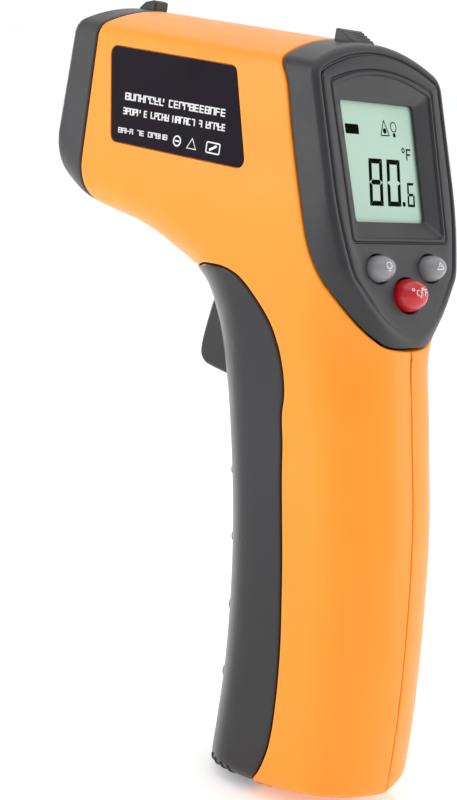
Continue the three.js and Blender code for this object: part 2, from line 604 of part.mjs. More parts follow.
for (const [name, button] of Object.entries(BUTTONS)) {
  const { u, v, r, height } = button;
  const arc = [];
  for (let i = 0; i < 5; i += 1) {
    const angle = (Math.PI / 2) * (i / 5);
    arc.push([r * Math.cos(angle), height * Math.sin(angle)]);
  }
  arc.push([0, height]);
  const body = [[0, -3.1], [r + 1.15, -3.1], [r + 1.15, -2.3], [r, -2.3], ...arc];
  const oval = turned(body, new THREE.Matrix4(), 0, 0, 20).transform(ovalFrame(button).toArray());
  put(name, oval, name === 'button_unit' ? 0xd5202c : 0x9c9ca0, 0.3);
  const suffix = name.slice(7);
  const stem = disc(1.5, -4.7, -3.4, FACE, u, v, 12);
  put(`key_stem_${suffix}`, stem, 0x303136, 0.5);
  put(`key_switch_${suffix}`, prism(rect(u - 3, u + 3, v - 3, v + 3), -7.7, -5.6, FACE), 0x4a4b50, 0.5);
}

// ---- battery compartment ---------------------------------------------------------------
const tray = prism(rect(-12.6, 12.6, -28.5, 28.5), -1, 8, TRAY)
  .subtract(prism(rect(-11.3, 11.3, -27, 27), -2, 6.4, TRAY));
put('battery_tray', tray, 0x2e2f33, 0.6);

function cell(direction) {
  const end = CELL_LENGTH / 2;
  const shape = [[0, -end + 0.1], [3.6, -end + 0.1], [3.9, -end + 0.5], [CELL_RADIUS, -end + 0.5],
    [CELL_RADIUS, end - 1.5], [CELL_RADIUS - 0.6, end - 1], [1.9, end - 1], [1.9, end], [0, end]];
  const axis = new THREE.Matrix4().makeBasis(X.clone().multiplyScalar(direction),
    TRAY_OUT.clone().negate(), TRAY_UP.clone().multiplyScalar(direction));
  const centre = new THREE.Vector3(CELL_X * direction, 1.6 * direction, 0).applyMatrix4(TRAY);
  return turned(shape, axis.setPosition(centre), 0, 0, 16);
}

put('cell_1', cell(1), 0xc8372f, 0.35);
put('cell_2', cell(-1), 0xc8372f, 0.35);

function contactPlate(x, end) {
  const plate = prism(rect(x - 4, x + 4, end * 26.2 - 0.25, end * 26.2 + 0.25), -3.6, 3.6, TRAY);
  return plate;
}

function nub(x, end, height) {
  const face = end * 26.2;
  const tall = TRAY.clone().multiply(new THREE.Matrix4().makeBasis(
    X, new THREE.Vector3(0, 0, -1), new THREE.Vector3(0, 1, 0)));
  return disc(2, Math.min(face, face - end * height), Math.max(face, face - end * height), tall, x, 0, 14);
}

const TRAY_AXIS = TRAY.clone().multiply(new THREE.Matrix4().makeBasis(
  X, new THREE.Vector3(0, 0, -1), new THREE.Vector3(0, 1, 0)));
const bridge = contactPlate(CELL_X, -1).add(contactPlate(-CELL_X, -1))
  .add(prism(rect(-4, 4, -26.45, -25.95), -3.6, 3.6, TRAY)).add(nub(-CELL_X, -1, 2.0));
put('contact_bridge', bridge, 0xc3c6ca, 0.3, 1);
put('contact_positive', contactPlate(CELL_X, 1).add(nub(CELL_X, 1, 2.0)), 0xc3c6ca, 0.3, 1);
put('contact_negative', contactPlate(-CELL_X, 1), 0xc3c6ca, 0.3, 1);

function cellSpring(x, end) {
  const frame = TRAY_AXIS.clone().multiply(new THREE.Matrix4().makeTranslation(x, 0, 0));
  return coil(end * 21.4, end * 25.5, 2.6, 0.3, 3, frame);
}

put('cell_spring_1', cellSpring(CELL_X, -1), 0xc3c6ca, 0.3, 1);
put('cell_spring_2', cellSpring(-CELL_X, 1), 0xc3c6ca, 0.3, 1);

// ---- wiring ----------------------------------------------------------------------------
const wire = roundSection(0.6, 6);
put('wire_battery_red', sweep([[5.6, -15, 69.6], [4.4, -20, 72], [3, -26, 78], [3, -27.4, 86],
  [3, -25, 93], [3, -22.8, 98]], wire, 12), 0xb8201c, 0.5);
put('wire_battery_black', sweep([[-5.6, -15, 69.6], [-4.4, -20, 72], [-3, -26, 78], [-3, -27.4, 86],
  [-3, -25, 93], [-3, -22.8, 98]], wire, 12), 0x1b1b1d, 0.5);
put('wire_switch', sweep([[0, -14, 106.6], [0, -16.6, 108], [0, -19, 107.4], [0, -19.6, 105.8]],
  wire, 8), 0x1b1b1d, 0.5);
const ribbon = [[-0.15, -4], [0.15, -4], [0.15, 4], [-0.15, 4]];
put('sensor_ribbon', sweep([[0, 11.6, 120], [0, 8, 118.5], [0, -2, 121], [0, -9.5, 124.6]],
  ribbon, 10), 0xd9d9dc, 0.6);
put('laser_lead', sweep([[0, 29.4, 144.8], [0, 22, 145.6], [0, 6, 146.2], [0, -4, 145],
  [0, -7.4, 140]], wire, 12), 0x2a55a8, 0.5);

// The form above is drawn about the grip; this puts the origin under the box's middle.
group.position.set(0, 0.5, -2.55);

export default group;
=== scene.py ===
"""Looks of the pistol-grip infrared thermometer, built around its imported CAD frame.

Shapes are worked out in millimetres, in the drawing coordinates of the CAD source, and placed
with one shift that is read from the frame: +Y measures, +Z is up, +X is the user's right.
"""
import math

import bmesh
import bpy
import numpy as np
from mathutils import Matrix, Vector
from mathutils.geometry import delaunay_2d_cdt


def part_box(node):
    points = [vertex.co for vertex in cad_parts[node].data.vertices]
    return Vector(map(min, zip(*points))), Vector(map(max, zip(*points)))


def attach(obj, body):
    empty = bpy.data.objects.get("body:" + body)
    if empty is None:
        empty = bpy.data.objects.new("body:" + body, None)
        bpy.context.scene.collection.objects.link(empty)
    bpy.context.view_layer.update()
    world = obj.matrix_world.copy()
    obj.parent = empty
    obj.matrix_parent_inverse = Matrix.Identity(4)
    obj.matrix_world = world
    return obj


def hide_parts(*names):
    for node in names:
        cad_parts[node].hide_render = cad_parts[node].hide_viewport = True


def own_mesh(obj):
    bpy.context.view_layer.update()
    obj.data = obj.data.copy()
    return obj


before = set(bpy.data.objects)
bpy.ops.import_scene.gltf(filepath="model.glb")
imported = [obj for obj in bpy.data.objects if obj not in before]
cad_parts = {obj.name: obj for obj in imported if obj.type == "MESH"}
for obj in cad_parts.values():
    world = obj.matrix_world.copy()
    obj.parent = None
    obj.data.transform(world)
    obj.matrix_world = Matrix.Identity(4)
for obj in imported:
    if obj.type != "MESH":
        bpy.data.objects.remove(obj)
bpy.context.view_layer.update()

# ---- driving dimensions, mm ---------------------------------------------------------------
TOP = 150.9
BARREL_HALF = 21.1
NOSE_HALF_LOSS = 1.2
GRIP_HALF = 15.8
WALL = 2.0
GAP = 0.3
FACE_SLOPE = 0.366
FACE_ORIGIN = np.array([0.0, -18.65, 146.0])
NOSE_SEAM = 38.6
NOSE_FACE = 47.0
NOSE_FACE_Z = 122.0
NOSE_LEAN = 0.045
FUNNEL_Z = 129.5
FUNNEL_HOLE = 10.2
LASER_Z = 144.8
TRIGGER_PIVOT = (2.5, 109.0)
TRIGGER_HALF = 4.0
SLOT_HALF = 4.6
SLOT_FLOOR = 79.6
HINGE = (-24.0, 3.75)
CELL_LENGTH = 44.5
CELL_X = 5.6
TRAY_CENTRE = (-17.5, 40.0)
TRAY_TILT = math.radians(6.5)
FACE_RIM = 1.3
NOSE_RIM = 1.6
SEAM_ROUND = 0.45
# Oval keys: middle on the face, half width, height over width, dome height.
BUTTONS = {"left": (-8.6, -38.2, 3.3, 0.77, 3.2), "right": (8.6, -38.2, 3.3, 0.77, 3.2),
           "unit": (0.0, -43.4, 4.05, 0.79, 3.8)}
CASE_SCREWS = [(26, 112.6), (8, 140.6), (-9, 112), (-32, 79), (-34.5, 40), (-35.5, 14)]
BOARD_SCREWS = [(-11, -0.6), (11, -0.6), (0, -51)]
RIB_Z = (63.8, 50.5, 36.7, 22.6)

# Side outline: y, z, crown radius, corner radius.
FRONT_LINE = [
    (62, 121, 40, 8), (54, 117, 40, 8), (47.2, 112, 40, 8), (41.5, 108.9, 40, 8),
    (34.4, 107.6, 40, 8), (28.5, 106.8, 40, 8), (22.6, 105.2, 36, 8), (17, 102.9, 32, 8),
    (12, 100.2, 26, 8), (8.9, 97.2, 22, 8), (6.6, 93, 20, 8), (4.5, 87.9, 18.5, 8),
    (2.6, 81.9, 17.5, 8), (0.9, 76, 17, 8), (-2.9, 61.1, 17, 8), (-6, 44.9, 17, 8),
    (-7.9, 28.3, 17, 8), (-8.4, 13.2, 17, 8), (-8.2, -8, 17, 8),
]
REAR_LINE = [
    (-41, 165, 24, 10), (-41, 112, 24, 10), (-40.3, 106, 24, 10), (-38.6, 101.5, 22, 10),
    (-37.2, 98, 21, 10), (-36.7, 95, 20, 10), (-37.3, 90.6, 19, 10), (-38.7, 84.8, 19, 10),
    (-40.4, 77.2, 19, 10), (-43.8, 61.7, 19, 10), (-46.1, 45.7, 19, 10), (-47.7, 29.5, 19, 10),
    (-48.4, 14.7, 19, 10), (-48.2, -8, 19, 10),
]
BOTTOM_LINE = [
    (12, 7, 40, 5), (0, 3.9, 40, 5), (-6, 2.8, 40, 4), (-12, 2.5, 40, 4), (-18, 2.5, 40, 4),
    (-24, 2.5, 40, 4), (-33, 3.6, 40, 4), (-41, 5.3, 40, 4), (-49, 8, 40, 4), (-60, 12, 40, 4),
]
BEZEL_SEAM = [
    (-7.4, 154), (-10.1, 146.4), (-12.7, 142.1), (-15, 135), (-17.5, 127.9), (-20.1, 120.9),
    (-22.7, 113.8), (-24.5, 110.4), (-27, 107), (-29.6, 103.8), (-31.9, 100.4), (-34.3, 97),
    (-36.3, 95.2), (-42, 94),
]
DOOR_SEAM = [
    (20, 101.6), (8, 102.8), (3.4, 104.1), (-1.9, 104.7), (-5, 104.3), (-7.7, 103.2), (-10.4, 101.2),
    (-13.3, 98.6), (-15.6, 96), (-17.1, 93.4), (-18.3, 90.7), (-19.4, 87), (-20, 83.1),
    (-19.9, 79.7), (-20.3, 76.8), (-20.9, 74), (-22.2, 66.7), (-23.8, 59.1), (-25.4, 51.4),
    (-26.8, 43.7), (-28.1, 35.9), (-29, 28.1), (-29.5, 20.1), (-29.4, 14.9), (-28.9, 11.7),
    (-27.8, 8.2), (-26.1, 5.8), (-24.8, 4.2), (-24, 2.4), (-24, -3),
]
LABEL = [(34.2, 143), (30.6, 124), (-6.0, 124.2), (-0.1, 143.1)]

MM = 0.001
pin_low, pin_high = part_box("trigger_pin")
SHIFT = np.array((pin_low + pin_high) / 2) / MM - np.array([0, *TRIGGER_PIVOT])


# ---- frames -------------------------------------------------------------------------------
class Axes:
    """Local (a, b, d) coordinates on the object: origin, two directions and their normal."""

    def __init__(self, origin, a, b, d):
        self.origin = np.array(origin, float)
        self.basis = np.array([a, b, d], float)

    def out(self, points):
        return self.origin + np.asarray(points, float) @ self.basis

    def into(self, points):
        return (np.asarray(points, float) - self.origin) @ self.basis.T

    def at(self, a, b, d=0.0):
        moved = Axes(self.out([a, b, d]), *self.basis)
        return moved


FACE_TILT = math.atan(FACE_SLOPE)
NOSE_TILT = math.atan(NOSE_LEAN)
SIDE = Axes((0, 0, 0), (0, 1, 0), (0, 0, 1), (1, 0, 0))
FACE = Axes(FACE_ORIGIN, (1, 0, 0), (0, math.sin(FACE_TILT), math.cos(FACE_TILT)),
            (0, -math.cos(FACE_TILT), math.sin(FACE_TILT)))
NOSE = Axes((0, NOSE_FACE, NOSE_FACE_Z), (-1, 0, 0), (0, -math.sin(NOSE_TILT), math.cos(NOSE_TILT)),
            (0, math.cos(NOSE_TILT), math.sin(NOSE_TILT)))
TRAY = Axes((0, *TRAY_CENTRE), (1, 0, 0), (0, math.sin(TRAY_TILT), math.cos(TRAY_TILT)),
            (0, -math.cos(TRAY_TILT), math.sin(TRAY_TILT)))
FUNNEL = Axes((0, 0, FUNNEL_Z), (-1, 0, 0), (0, 0, 1), (0, 1, 0))
LASER = Axes((0, 0, LASER_Z), (-1, 0, 0), (0, 0, 1), (0, 1, 0))


# ---- outer form ---------------------------------------------------------------------------
def catmull(points, steps):
    points = np.asarray(points, float)
    padded = np.vstack([points[:1], points, points[-1:]])
    t = (np.arange(steps) / steps)[:, None]
    rows = []
    for a, b, c, d in zip(padded, padded[1:], padded[2:], padded[3:]):
        rows.append(0.5 * (2 * b + (c - a) * t + (2 * a - 5 * b + 4 * c - d) * t**2
                           + (3 * b - a - 3 * c + d) * t**3))
    rows.append(points[-1:])
    return np.vstack(rows)


def nearest(points, line):
    """Distance, side (+1 left of the line) and the line's other values at its nearest place."""
    corners = line[:, :2]
    closest = []
    for part in np.array_split(points, len(points) // 4000 + 1):
        closest.append(((corners**2).sum(1) - 2 * part @ corners.T).argmin(1))
    closest = np.concatenate(closest)
    best = np.full(len(points), np.inf)
    side = np.ones(len(points))
    values = np.zeros((len(points), line.shape[1] - 2))
    for first in (closest - 1, closest):
        first = np.clip(first, 0, len(line) - 2)
        a, b = line[first], line[first + 1]
        step = b[:, :2] - a[:, :2]
        away = points - a[:, :2]
        t = np.clip((away * step).sum(1) / (step * step).sum(1), 0, 1)[:, None]
        away = away - t * step
        distance = np.hypot(away[:, 0], away[:, 1])
        closer = distance < best
        best[closer] = distance[closer]
        side[closer] = np.sign(step[:, 0] * away[:, 1] - step[:, 1] * away[:, 0])[closer]
        values[closer] = (a[:, 2:] + t * (b[:, 2:] - a[:, 2:]))[closer]
    return best, side, values


CURVES = [(catmull(FRONT_LINE, 16), -1), (catmull(REAR_LINE, 16), 1), (catmull(BOTTOM_LINE, 12), -1)]


def profile(d, half, crown, corner):
    """Half width at depth d under a crowned edge; negative outside it."""
    arch = np.maximum(crown, half + 1.5)
    cx = half - corner
    flat = arch - np.sqrt(np.maximum((arch - corner) ** 2 - cx**2, 0))
    join_x = cx * arch / (arch - corner)
    join = arch - np.sqrt(np.maximum(arch**2 - join_x**2, 0))
    crowned = np.sign(d) * np.sqrt(np.maximum(2 * arch * np.abs(d) - d * np.abs(d), 0))
    rounded = cx + np.sqrt(np.maximum(corner**2 - (flat - d) ** 2, 0))
    return np.where(d < join, crowned, np.where(d < flat, rounded, half))


def smoothstep(value, low, high):
    t = np.clip((value - low) / (high - low), 0, 1)
    return t * t * (3 - 2 * t)


def signed_square(points):
    """The half width squared, negative outside the outline, at side-view points (y, z)."""
    y, z = points[:, 0], points[:, 1]
    barrel = BARREL_HALF - NOSE_HALF_LOSS * smoothstep(y, 0, NOSE_FACE)
    half = GRIP_HALF + (barrel - GRIP_HALF) * smoothstep(z, 72, 122)
    loss = (1 - profile(TOP - z, half, 46.0, 3.5) / half) ** 2
    for line, inside in CURVES:
        distance, side, values = nearest(points, line)
        loss += (1 - profile(distance * side * inside, half, values[:, 0], values[:, 1]) / half) ** 2
    width = half * (1 - np.sqrt(loss))
    return np.sign(width) * width**2


def half_width(y, z):
    return math.sqrt(max(signed_square(np.array([[y, z]], float))[0], 0))


def slope_of(points, step=0.03):
    """Gradient of signed_square."""
    dy, dz = np.array([step, 0]), np.array([0, step])
    return np.stack([signed_square(points + dy) - signed_square(points - dy),
                     signed_square(points + dz) - signed_square(points - dz)], 1) / (2 * step)


def face_depth(points):
    """Distance behind the display face of side-view points."""
    plane = FACE_ORIGIN[1] - FACE_SLOPE * (FACE_ORIGIN[2] - points[:, 1])
    return (points[:, 0] - plane) * math.cos(FACE_TILT)


def nose_depth(points):
    """Distance behind the nose face of side-view points."""
    return (NOSE_FACE - NOSE_LEAN * (points[:, 1] - NOSE_FACE_Z) - points[:, 0]) * math.cos(NOSE_TILT)


def shifted(line, distance):
    """A line moved sideways, to its left if positive."""
    line = np.asarray(line, float)
    along = np.vstack([line[1:2] - line[:1], line[2:] - line[:-2], line[-1:] - line[-2:-1]])
    along /= np.linalg.norm(along, axis=1)[:, None]
    return line + distance * np.stack([-along[:, 1], along[:, 0]], 1)


def inset(loop, distance):
    """A closed loop moved sideways, to its left if positive."""
    loop = np.asarray(loop, float)
    along = np.roll(loop, -1, 0) - np.roll(loop, 1, 0)
    along /= np.linalg.norm(along, axis=1)[:, None]
    return loop + distance * np.stack([-along[:, 1], along[:, 0]], 1)


def resampled(line, spacing, closed=False):
    """A line with its points at an even spacing."""
    line = np.asarray(line, float)
    if closed:
        line = np.vstack([line, line[:1]])
    lengths = np.r_[0, np.cumsum(np.linalg.norm(np.diff(line, axis=0), axis=1))]
    count = max(int(round(lengths[-1] / spacing)), 3 if closed else 1)
    at = np.linspace(0, lengths[-1], count + 1)
    out = np.stack([np.interp(at, lengths, line[:, k]) for k in range(line.shape[1])], 1)
    return out[:-1] if closed else out


def within(polygon, points):
    """Which points lie inside a polygon."""
    inside = np.zeros(len(points), bool)
    for (ay, az), (by, bz) in zip(polygon, np.roll(polygon, -1, 0)):
        crosses = (az > points[:, 1]) != (bz > points[:, 1])
        with np.errstate(divide="ignore", invalid="ignore"):
            at = ay + (points[:, 1] - az) / (bz - az) * (by - ay)
        inside ^= crosses & (points[:, 0] < at)
    return inside


def counterclockwise(points, triangles):
    """The triangles, turned over where they run clockwise."""
    a, b, c = (points[triangles[:, k]] for k in range(3))
    turn = (b[:, 0] - a[:, 0]) * (c[:, 1] - a[:, 1]) - (b[:, 1] - a[:, 1]) * (c[:, 0] - a[:, 0])
    triangles[turn < 0] = triangles[turn < 0][:, ::-1]
    return triangles


def rounded(points, radius, steps=5):
    """A closed polygon with its corners replaced by arcs; radius may be one per corner."""
    points = np.asarray(points, float)
    radii = np.broadcast_to(radius, len(points))
    out = []
    for before, corner, after, r in zip(np.roll(points, 1, 0), points, np.roll(points, -1, 0), radii):
        to_before = (before - corner) / np.linalg.norm(before - corner)
        to_after = (after - corner) / np.linalg.norm(after - corner)
        half_angle = math.acos(np.clip(to_before @ to_after, -1, 1)) / 2
        bisector = to_before + to_after
        bisector /= np.linalg.norm(bisector)
        centre = corner + bisector * r / math.sin(half_angle)
        start = corner + to_before * r / math.tan(half_angle) - centre
        turn = math.pi - 2 * half_angle
        if to_before[0] * to_after[1] - to_before[1] * to_after[0] > 0:
            turn = -turn
        for k in range(steps + 1):
            angle = turn * k / steps
            c, s = math.cos(angle), math.sin(angle)
            out.append(centre + np.array([c * start[0] - s * start[1], s * start[0] + c * start[1]]))
    return np.array(out)


def rounding(distance, radius):
    """How far a rounded edge has dropped at a distance from it."""
    inward = np.clip(radius - np.maximum(distance, 0), 0, radius)
    return radius - np.sqrt(radius**2 - inward**2)


# ---- side map: one triangulated side view of the whole form, lifted to each piece ------------
def contour(ys, zs, field, level):
    """Lines where the field crosses a level, by marching squares."""
    above = field > level
    links = {}

    def link(a, b):
        links.setdefault(a, []).append(b)
        links.setdefault(b, []).append(a)

    mixed = (above[:-1, :-1] != above[1:, :-1]) | (above[:-1, :-1] != above[:-1, 1:]) | (
        above[:-1, :-1] != above[1:, 1:])
    for i, j in zip(*np.nonzero(mixed)):
        crossed = []
        if above[i, j] != above[i + 1, j]:
            crossed.append((0, i, j))
        if above[i + 1, j] != above[i + 1, j + 1]:
            crossed.append((1, i + 1, j))
        if above[i, j + 1] != above[i + 1, j + 1]:
            crossed.append((0, i, j + 1))
        if above[i, j] != above[i, j + 1]:
            crossed.append((1, i, j))
        for a, b in zip(crossed[::2], crossed[1::2]):
            link(a, b)

    def place(key):
        upright, i, j = key
        k, m = (i, j + 1) if upright else (i + 1, j)
        t = (level - field[i, j]) / (field[k, m] - field[i, j])
        return (ys[i] + t * (ys[k] - ys[i]), zs[j] + t * (zs[m] - zs[j]))

    lines = []
    while links:
        ends = [key for key, near in links.items() if len(near) == 1]
        here = ends[0] if ends else next(iter(links))
        path = [here]
        while links.get(here):
            there = links[here].pop()
            links[there].remove(here)
            if not links[here]:
                del links[here]
            here = there
            path.append(here)
        links.pop(here, None)
        lines.append(np.array([place(key) for key in path]))
    return lines


LEVELS = [0, 0.15, 0.26, 0.45, 0.8, 1.4, 2.2, 3.2, 4.6, 4.7, 4.95, 6.2, 7.8, 9.4, 10.8, 12, 12.9, 13.7,
          14.4, 15, 15.4, 16.2, 17.2, 18.2, 19, 19.5, 20, 20.4]
SEAM_RINGS = [0.0, 0.05, 0.13, 0.25, 0.45, 0.9]
RIM_STEPS = 6
GRID = 1.5
FIELD_STEP = 0.5


def straight(a, b, spacing=0.8):
    return resampled(np.array([a, b], float), spacing)


bezel_line = catmull(BEZEL_SEAM, 8)
door_line = catmull(DOOR_SEAM, 6)
nose_line = np.array([(NOSE_SEAM, 156.0), (NOSE_SEAM, 98.0)])
label_line = rounded(LABEL[::-1], 1.6, 8)


class SideMap:
    """Side-view triangles with the half width and the outward normal at each point."""

    def __init__(self):
        lines = self.contours() + self.seams() + self.rims() + self.label()
        points = []
        edges = []
        for line, closed in lines:
            first = len(points)
            points.extend(line.tolist())
            edges.extend((first + k, first + k + 1) for k in range(len(line) - 1))
            if closed:
                edges.append((first + len(line) - 1, first))
        points.extend(self.grid(np.array(points)))
        made = delaunay_2d_cdt([Vector(p) for p in points], edges, [], 0, 1e-4, True)
        self.points = np.array([tuple(v) for v in made[0]])
        self.faces = np.array([f for f in made[2] if len(f) == 3])
        outline_edges = sum(len(line) if closed else len(line) - 1 for line, closed in self.outlines)
        self.middle = np.zeros(len(self.points), bool)
        for ends, sources in zip(made[1], made[4]):
            if any(source < outline_edges for source in sources):
                self.middle[list(ends)] = True
        square = signed_square(self.points)
        self.half = np.where(self.middle, 0, np.sqrt(np.maximum(square, 0.05**2)))
        slope = slope_of(self.points)
        normal = np.stack([2 * self.half, -slope[:, 0], -slope[:, 1]], 1)
        self.normal = normal / np.maximum(np.linalg.norm(normal, axis=1), 1e-9)[:, None]
        self.centre = self.points[self.faces].mean(1)
        self.centre_square = signed_square(self.centre)
        self.faces = counterclockwise(self.points, self.faces)
        self.solid = ~self.middle[self.faces].all(1)
        self.solid &= np.logical_xor.reduce([within(line, self.centre) for line, _ in self.outlines])

    def contours(self):
        """Lines of equal half width, drawn onto the true form by two Newton steps."""
        self.ys = np.arange(-51, 50.01, FIELD_STEP)
        self.zs = np.arange(-2, 153.01, FIELD_STEP)
        mesh = np.stack(np.meshgrid(self.ys, self.zs, indexing="ij"), -1)
        field = signed_square(mesh.reshape(-1, 2)).reshape(mesh.shape[:2])
        lines = []
        for level in LEVELS:
            for line in contour(self.ys, self.zs, field, level**2):
                closed = np.allclose(line[0], line[-1])
                if len(line) < 8:
                    continue
                line = resampled(line[:-1] if closed else line, 0.7, closed)
                for _ in range(2):
                    slope = slope_of(line)
                    error = signed_square(line) - level**2
                    step = error / np.maximum((slope**2).sum(1), 1e-6)
                    line = line - np.clip(step, -1, 1)[:, None] * slope
                lines.append((line, closed))
            if level == 0:
                self.outlines = list(lines)
        return lines

    def seams(self):
        """Rings beside each seam, and the edges of the trigger slot."""
        lines = []
        for seam in (bezel_line, door_line, nose_line):
            for ring in SEAM_RINGS:
                for side in (-1, 1):
                    moved = shifted(seam, side * (GAP / 2 + ring))
                    lines.append((resampled(moved, 0.6), False))
        for z in (0, 0.06, 0.2, 0.5):
            lines.append((straight((-7, SLOT_FLOOR - z), (9, SLOT_FLOOR - z)), False))
        lines.append((straight((-7, SLOT_FLOOR), (-7, 106)), False))
        return lines

    def rims(self):
        """Rings that round the rims of the display face and the nose face."""
        lines = []
        for step in range(RIM_STEPS + 1):
            turn = 1 - math.cos(math.pi / 2 * step / RIM_STEPS)
            behind = FACE_RIM * turn / math.cos(FACE_TILT)
            ends = [(FACE_ORIGIN[1] - FACE_SLOPE * (FACE_ORIGIN[2] - z) + behind, z) for z in (153, 92)]
            lines.append((straight(*ends), False))
            behind = NOSE_RIM * turn / math.cos(NOSE_TILT)
            ends = [(NOSE_FACE - NOSE_LEAN * (z - NOSE_FACE_Z) - behind, z) for z in (153, 104)]
            lines.append((straight(*ends), False))
        return lines

    def label(self):
        return [(resampled(inset(label_line, d), 0.5, True), True) for d in (0, -0.12)]

    def grid(self, taken):
        """Points that fill the space between the lines."""
        cells = set(map(tuple, np.floor(taken / 0.6).astype(int)))
        busy = {(i + a, j + b) for i, j in cells for a in (-1, 0, 1) for b in (-1, 0, 1)}
        rows = []
        for row, z in enumerate(np.arange(0, 152, GRID * 0.87)):
            for y in np.arange(-50 + (row % 2) * GRID / 2, 49, GRID):
                if (math.floor(y / 0.6), math.floor(z / 0.6)) not in busy:
                    rows.append([y, z])
        return rows


side_map = SideMap()
P = side_map.points
C = side_map.centre

bezel_region = np.vstack([shifted(bezel_line, -GAP / 2), [(-80, 94), (-80, 160)]])
bezel_clear = np.vstack([shifted(bezel_line, GAP / 2), [(-80, 94), (-80, 160)]])
door_region = np.vstack([shifted(door_line, GAP / 2), [(40, -3), (40, 103.6)]])
door_clear = np.vstack([shifted(door_line, -GAP / 2), [(40, -3), (40, 103.9)]])

in_body = side_map.solid & (face_depth(C) > 0) & (nose_depth(C) > 0)
in_bezel = in_body & within(bezel_region, C)
in_nose = in_body & (C[:, 0] > NOSE_SEAM + GAP / 2)
in_door = in_body & within(door_region, C)
in_slot = in_door & (C[:, 1] > SLOT_FLOOR) & (C[:, 0] > -7) & (side_map.centre_square < SLOT_HALF**2)
in_shell = in_body & ~within(bezel_clear, C) & ~within(door_clear, C) & (C[:, 0] < NOSE_SEAM - GAP / 2)
in_shell &= side_map.centre_square > (GAP / 2) ** 2

seam_distance = np.min([nearest(P, line)[0] for line in (bezel_line, door_line, nose_line)], axis=0)
seam_drop = rounding(seam_distance - GAP / 2, SEAM_ROUND)


def lifted(keep, drop, side, thickness=WALL, planes=()):
    """Vertices outside and inside and faces of a skin over the kept triangles.

    side is -1, 1 or 0 for both; planes are (axes, depth of each point, rim radius).
    """
    faces = side_map.faces[keep]
    used, faces = np.unique(faces, return_inverse=True)
    faces = faces.reshape(-1, 3)
    base = np.column_stack([side_map.half[used], P[used]])
    normal = side_map.normal[used]
    outer = base - normal * drop[used][:, None]
    inner = base - normal * thickness
    for axes, depth, radius in planes:
        away = axes.basis[2]
        flat = normal - (normal @ away)[:, None] * away
        flat /= np.maximum(np.linalg.norm(flat, axis=1), 1e-6)[:, None]
        outer = outer - flat * rounding(depth[used], radius)[:, None]
        short = np.maximum(thickness + axes.into(inner)[:, 2], 0)
        inner = inner - away * short[:, None]
    least = np.where(side_map.middle[used], 0, 0.02 + 0.01 * side_map.half[used])
    outer[:, 0] = np.where(side_map.middle[used], 0, np.maximum(outer[:, 0], 0.02))
    inner[:, 0] = np.where(side_map.middle[used], 0, np.maximum(inner[:, 0], least))
    mirror = np.array([-1, 1, 1])
    if side < 0:
        return outer * mirror, inner * mirror, faces[:, ::-1], used
    if side > 0:
        return outer, inner, faces, used
    count = len(used)
    middle = side_map.middle[used]
    twin = np.where(middle, np.arange(count), 0)
    twin[~middle] = count + np.arange((~middle).sum())
    outer = np.vstack([outer, (outer * mirror)[~middle]])
    inner = np.vstack([inner, (inner * mirror)[~middle]])
    faces = np.vstack([faces, twin[faces][:, ::-1]])
    return outer, inner, faces, np.r_[used, used[~middle]]


def open_edges(faces):
    """Directed edges with a face on one side only."""
    seen = {}
    for face in faces:
        for a, b in zip(face, (*face[1:], face[0])):
            seen[(a, b)] = seen.get((a, b), 0) + 1
    return [(a, b) for (a, b) in seen if (b, a) not in seen]


def thickened(outer, inner, faces):
    """A closed skin: outside, inside and the strip that joins their open edges."""
    faces = [tuple(int(v) for v in f) for f in faces]
    count = len(outer)
    closed = faces + [tuple(v + count for v in reversed(f)) for f in faces]
    closed += [(b, a, a + count, b + count) for a, b in open_edges(faces)]
    return np.vstack([outer, inner]), closed


# ---- mesh helpers -------------------------------------------------------------------------
def make(name, vertices, faces, material, body, nodes=(), slot=None, sharp=38.0):
    """A piece from vertices in drawing millimetres, riding on a CAD body."""
    mesh = bpy.data.meshes.new(name)
    placed = (np.asarray(vertices, float) + SHIFT) * MM
    mesh.from_pydata(placed.tolist(), [], [tuple(int(v) for v in f) for f in faces])
    bm = bmesh.new()
    bm.from_mesh(mesh)
    bmesh.ops.remove_doubles(bm, verts=bm.verts, dist=0.002 * MM)
    bmesh.ops.dissolve_degenerate(bm, edges=bm.edges, dist=0.001 * MM)
    bmesh.ops.delete(bm, geom=[v for v in bm.verts if not v.link_faces], context="VERTS")
    bmesh.ops.recalc_face_normals(bm, faces=bm.faces)
    for face in bm.faces:
        face.smooth = True
    for edge in bm.edges:
        if len(edge.link_faces) == 2:
            edge.smooth = edge.calc_face_angle(0) < math.radians(sharp)
    bm.to_mesh(mesh)
    bm.free()
    piece = bpy.data.objects.new(name, mesh)
    bpy.context.scene.collection.objects.link(piece)
    mesh.materials.append(material)
    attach(piece, body)
    if nodes:
        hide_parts(*([nodes] if isinstance(nodes, str) else nodes))
    return piece


def joined(*parts):
    """Several (vertices, faces) lists as one."""
    vertices, faces, offset = [], [], 0
    for points, polygons in parts:
        vertices.append(np.asarray(points, float))
        faces.extend(tuple(int(v) + offset for v in f) for f in polygons)
        offset += len(points)
    return np.vstack(vertices), faces


def mirrored(part):
    points, faces = part
    return np.asarray(points) * np.array([-1, 1, 1]), [tuple(reversed(f)) for f in faces]


def stack(rings, capped=True, looped=False):
    """Faces through rings of equal length, with polygons over both ends."""
    rings = [np.asarray(r, float) for r in rings]
    count = len(rings[0])
    faces = []
    pairs = list(zip(range(len(rings)), range(1, len(rings))))
    if looped:
        pairs.append((len(rings) - 1, 0))
    for low, high in pairs:
        for i in range(count):
            j = (i + 1) % count
            faces.append((low * count + i, low * count + j, high * count + j, high * count + i))
    if capped and not looped:
        faces.append(tuple(reversed(range(count))))
        faces.append(tuple(range((len(rings) - 1) * count, len(rings) * count)))
    return np.vstack(rings), faces


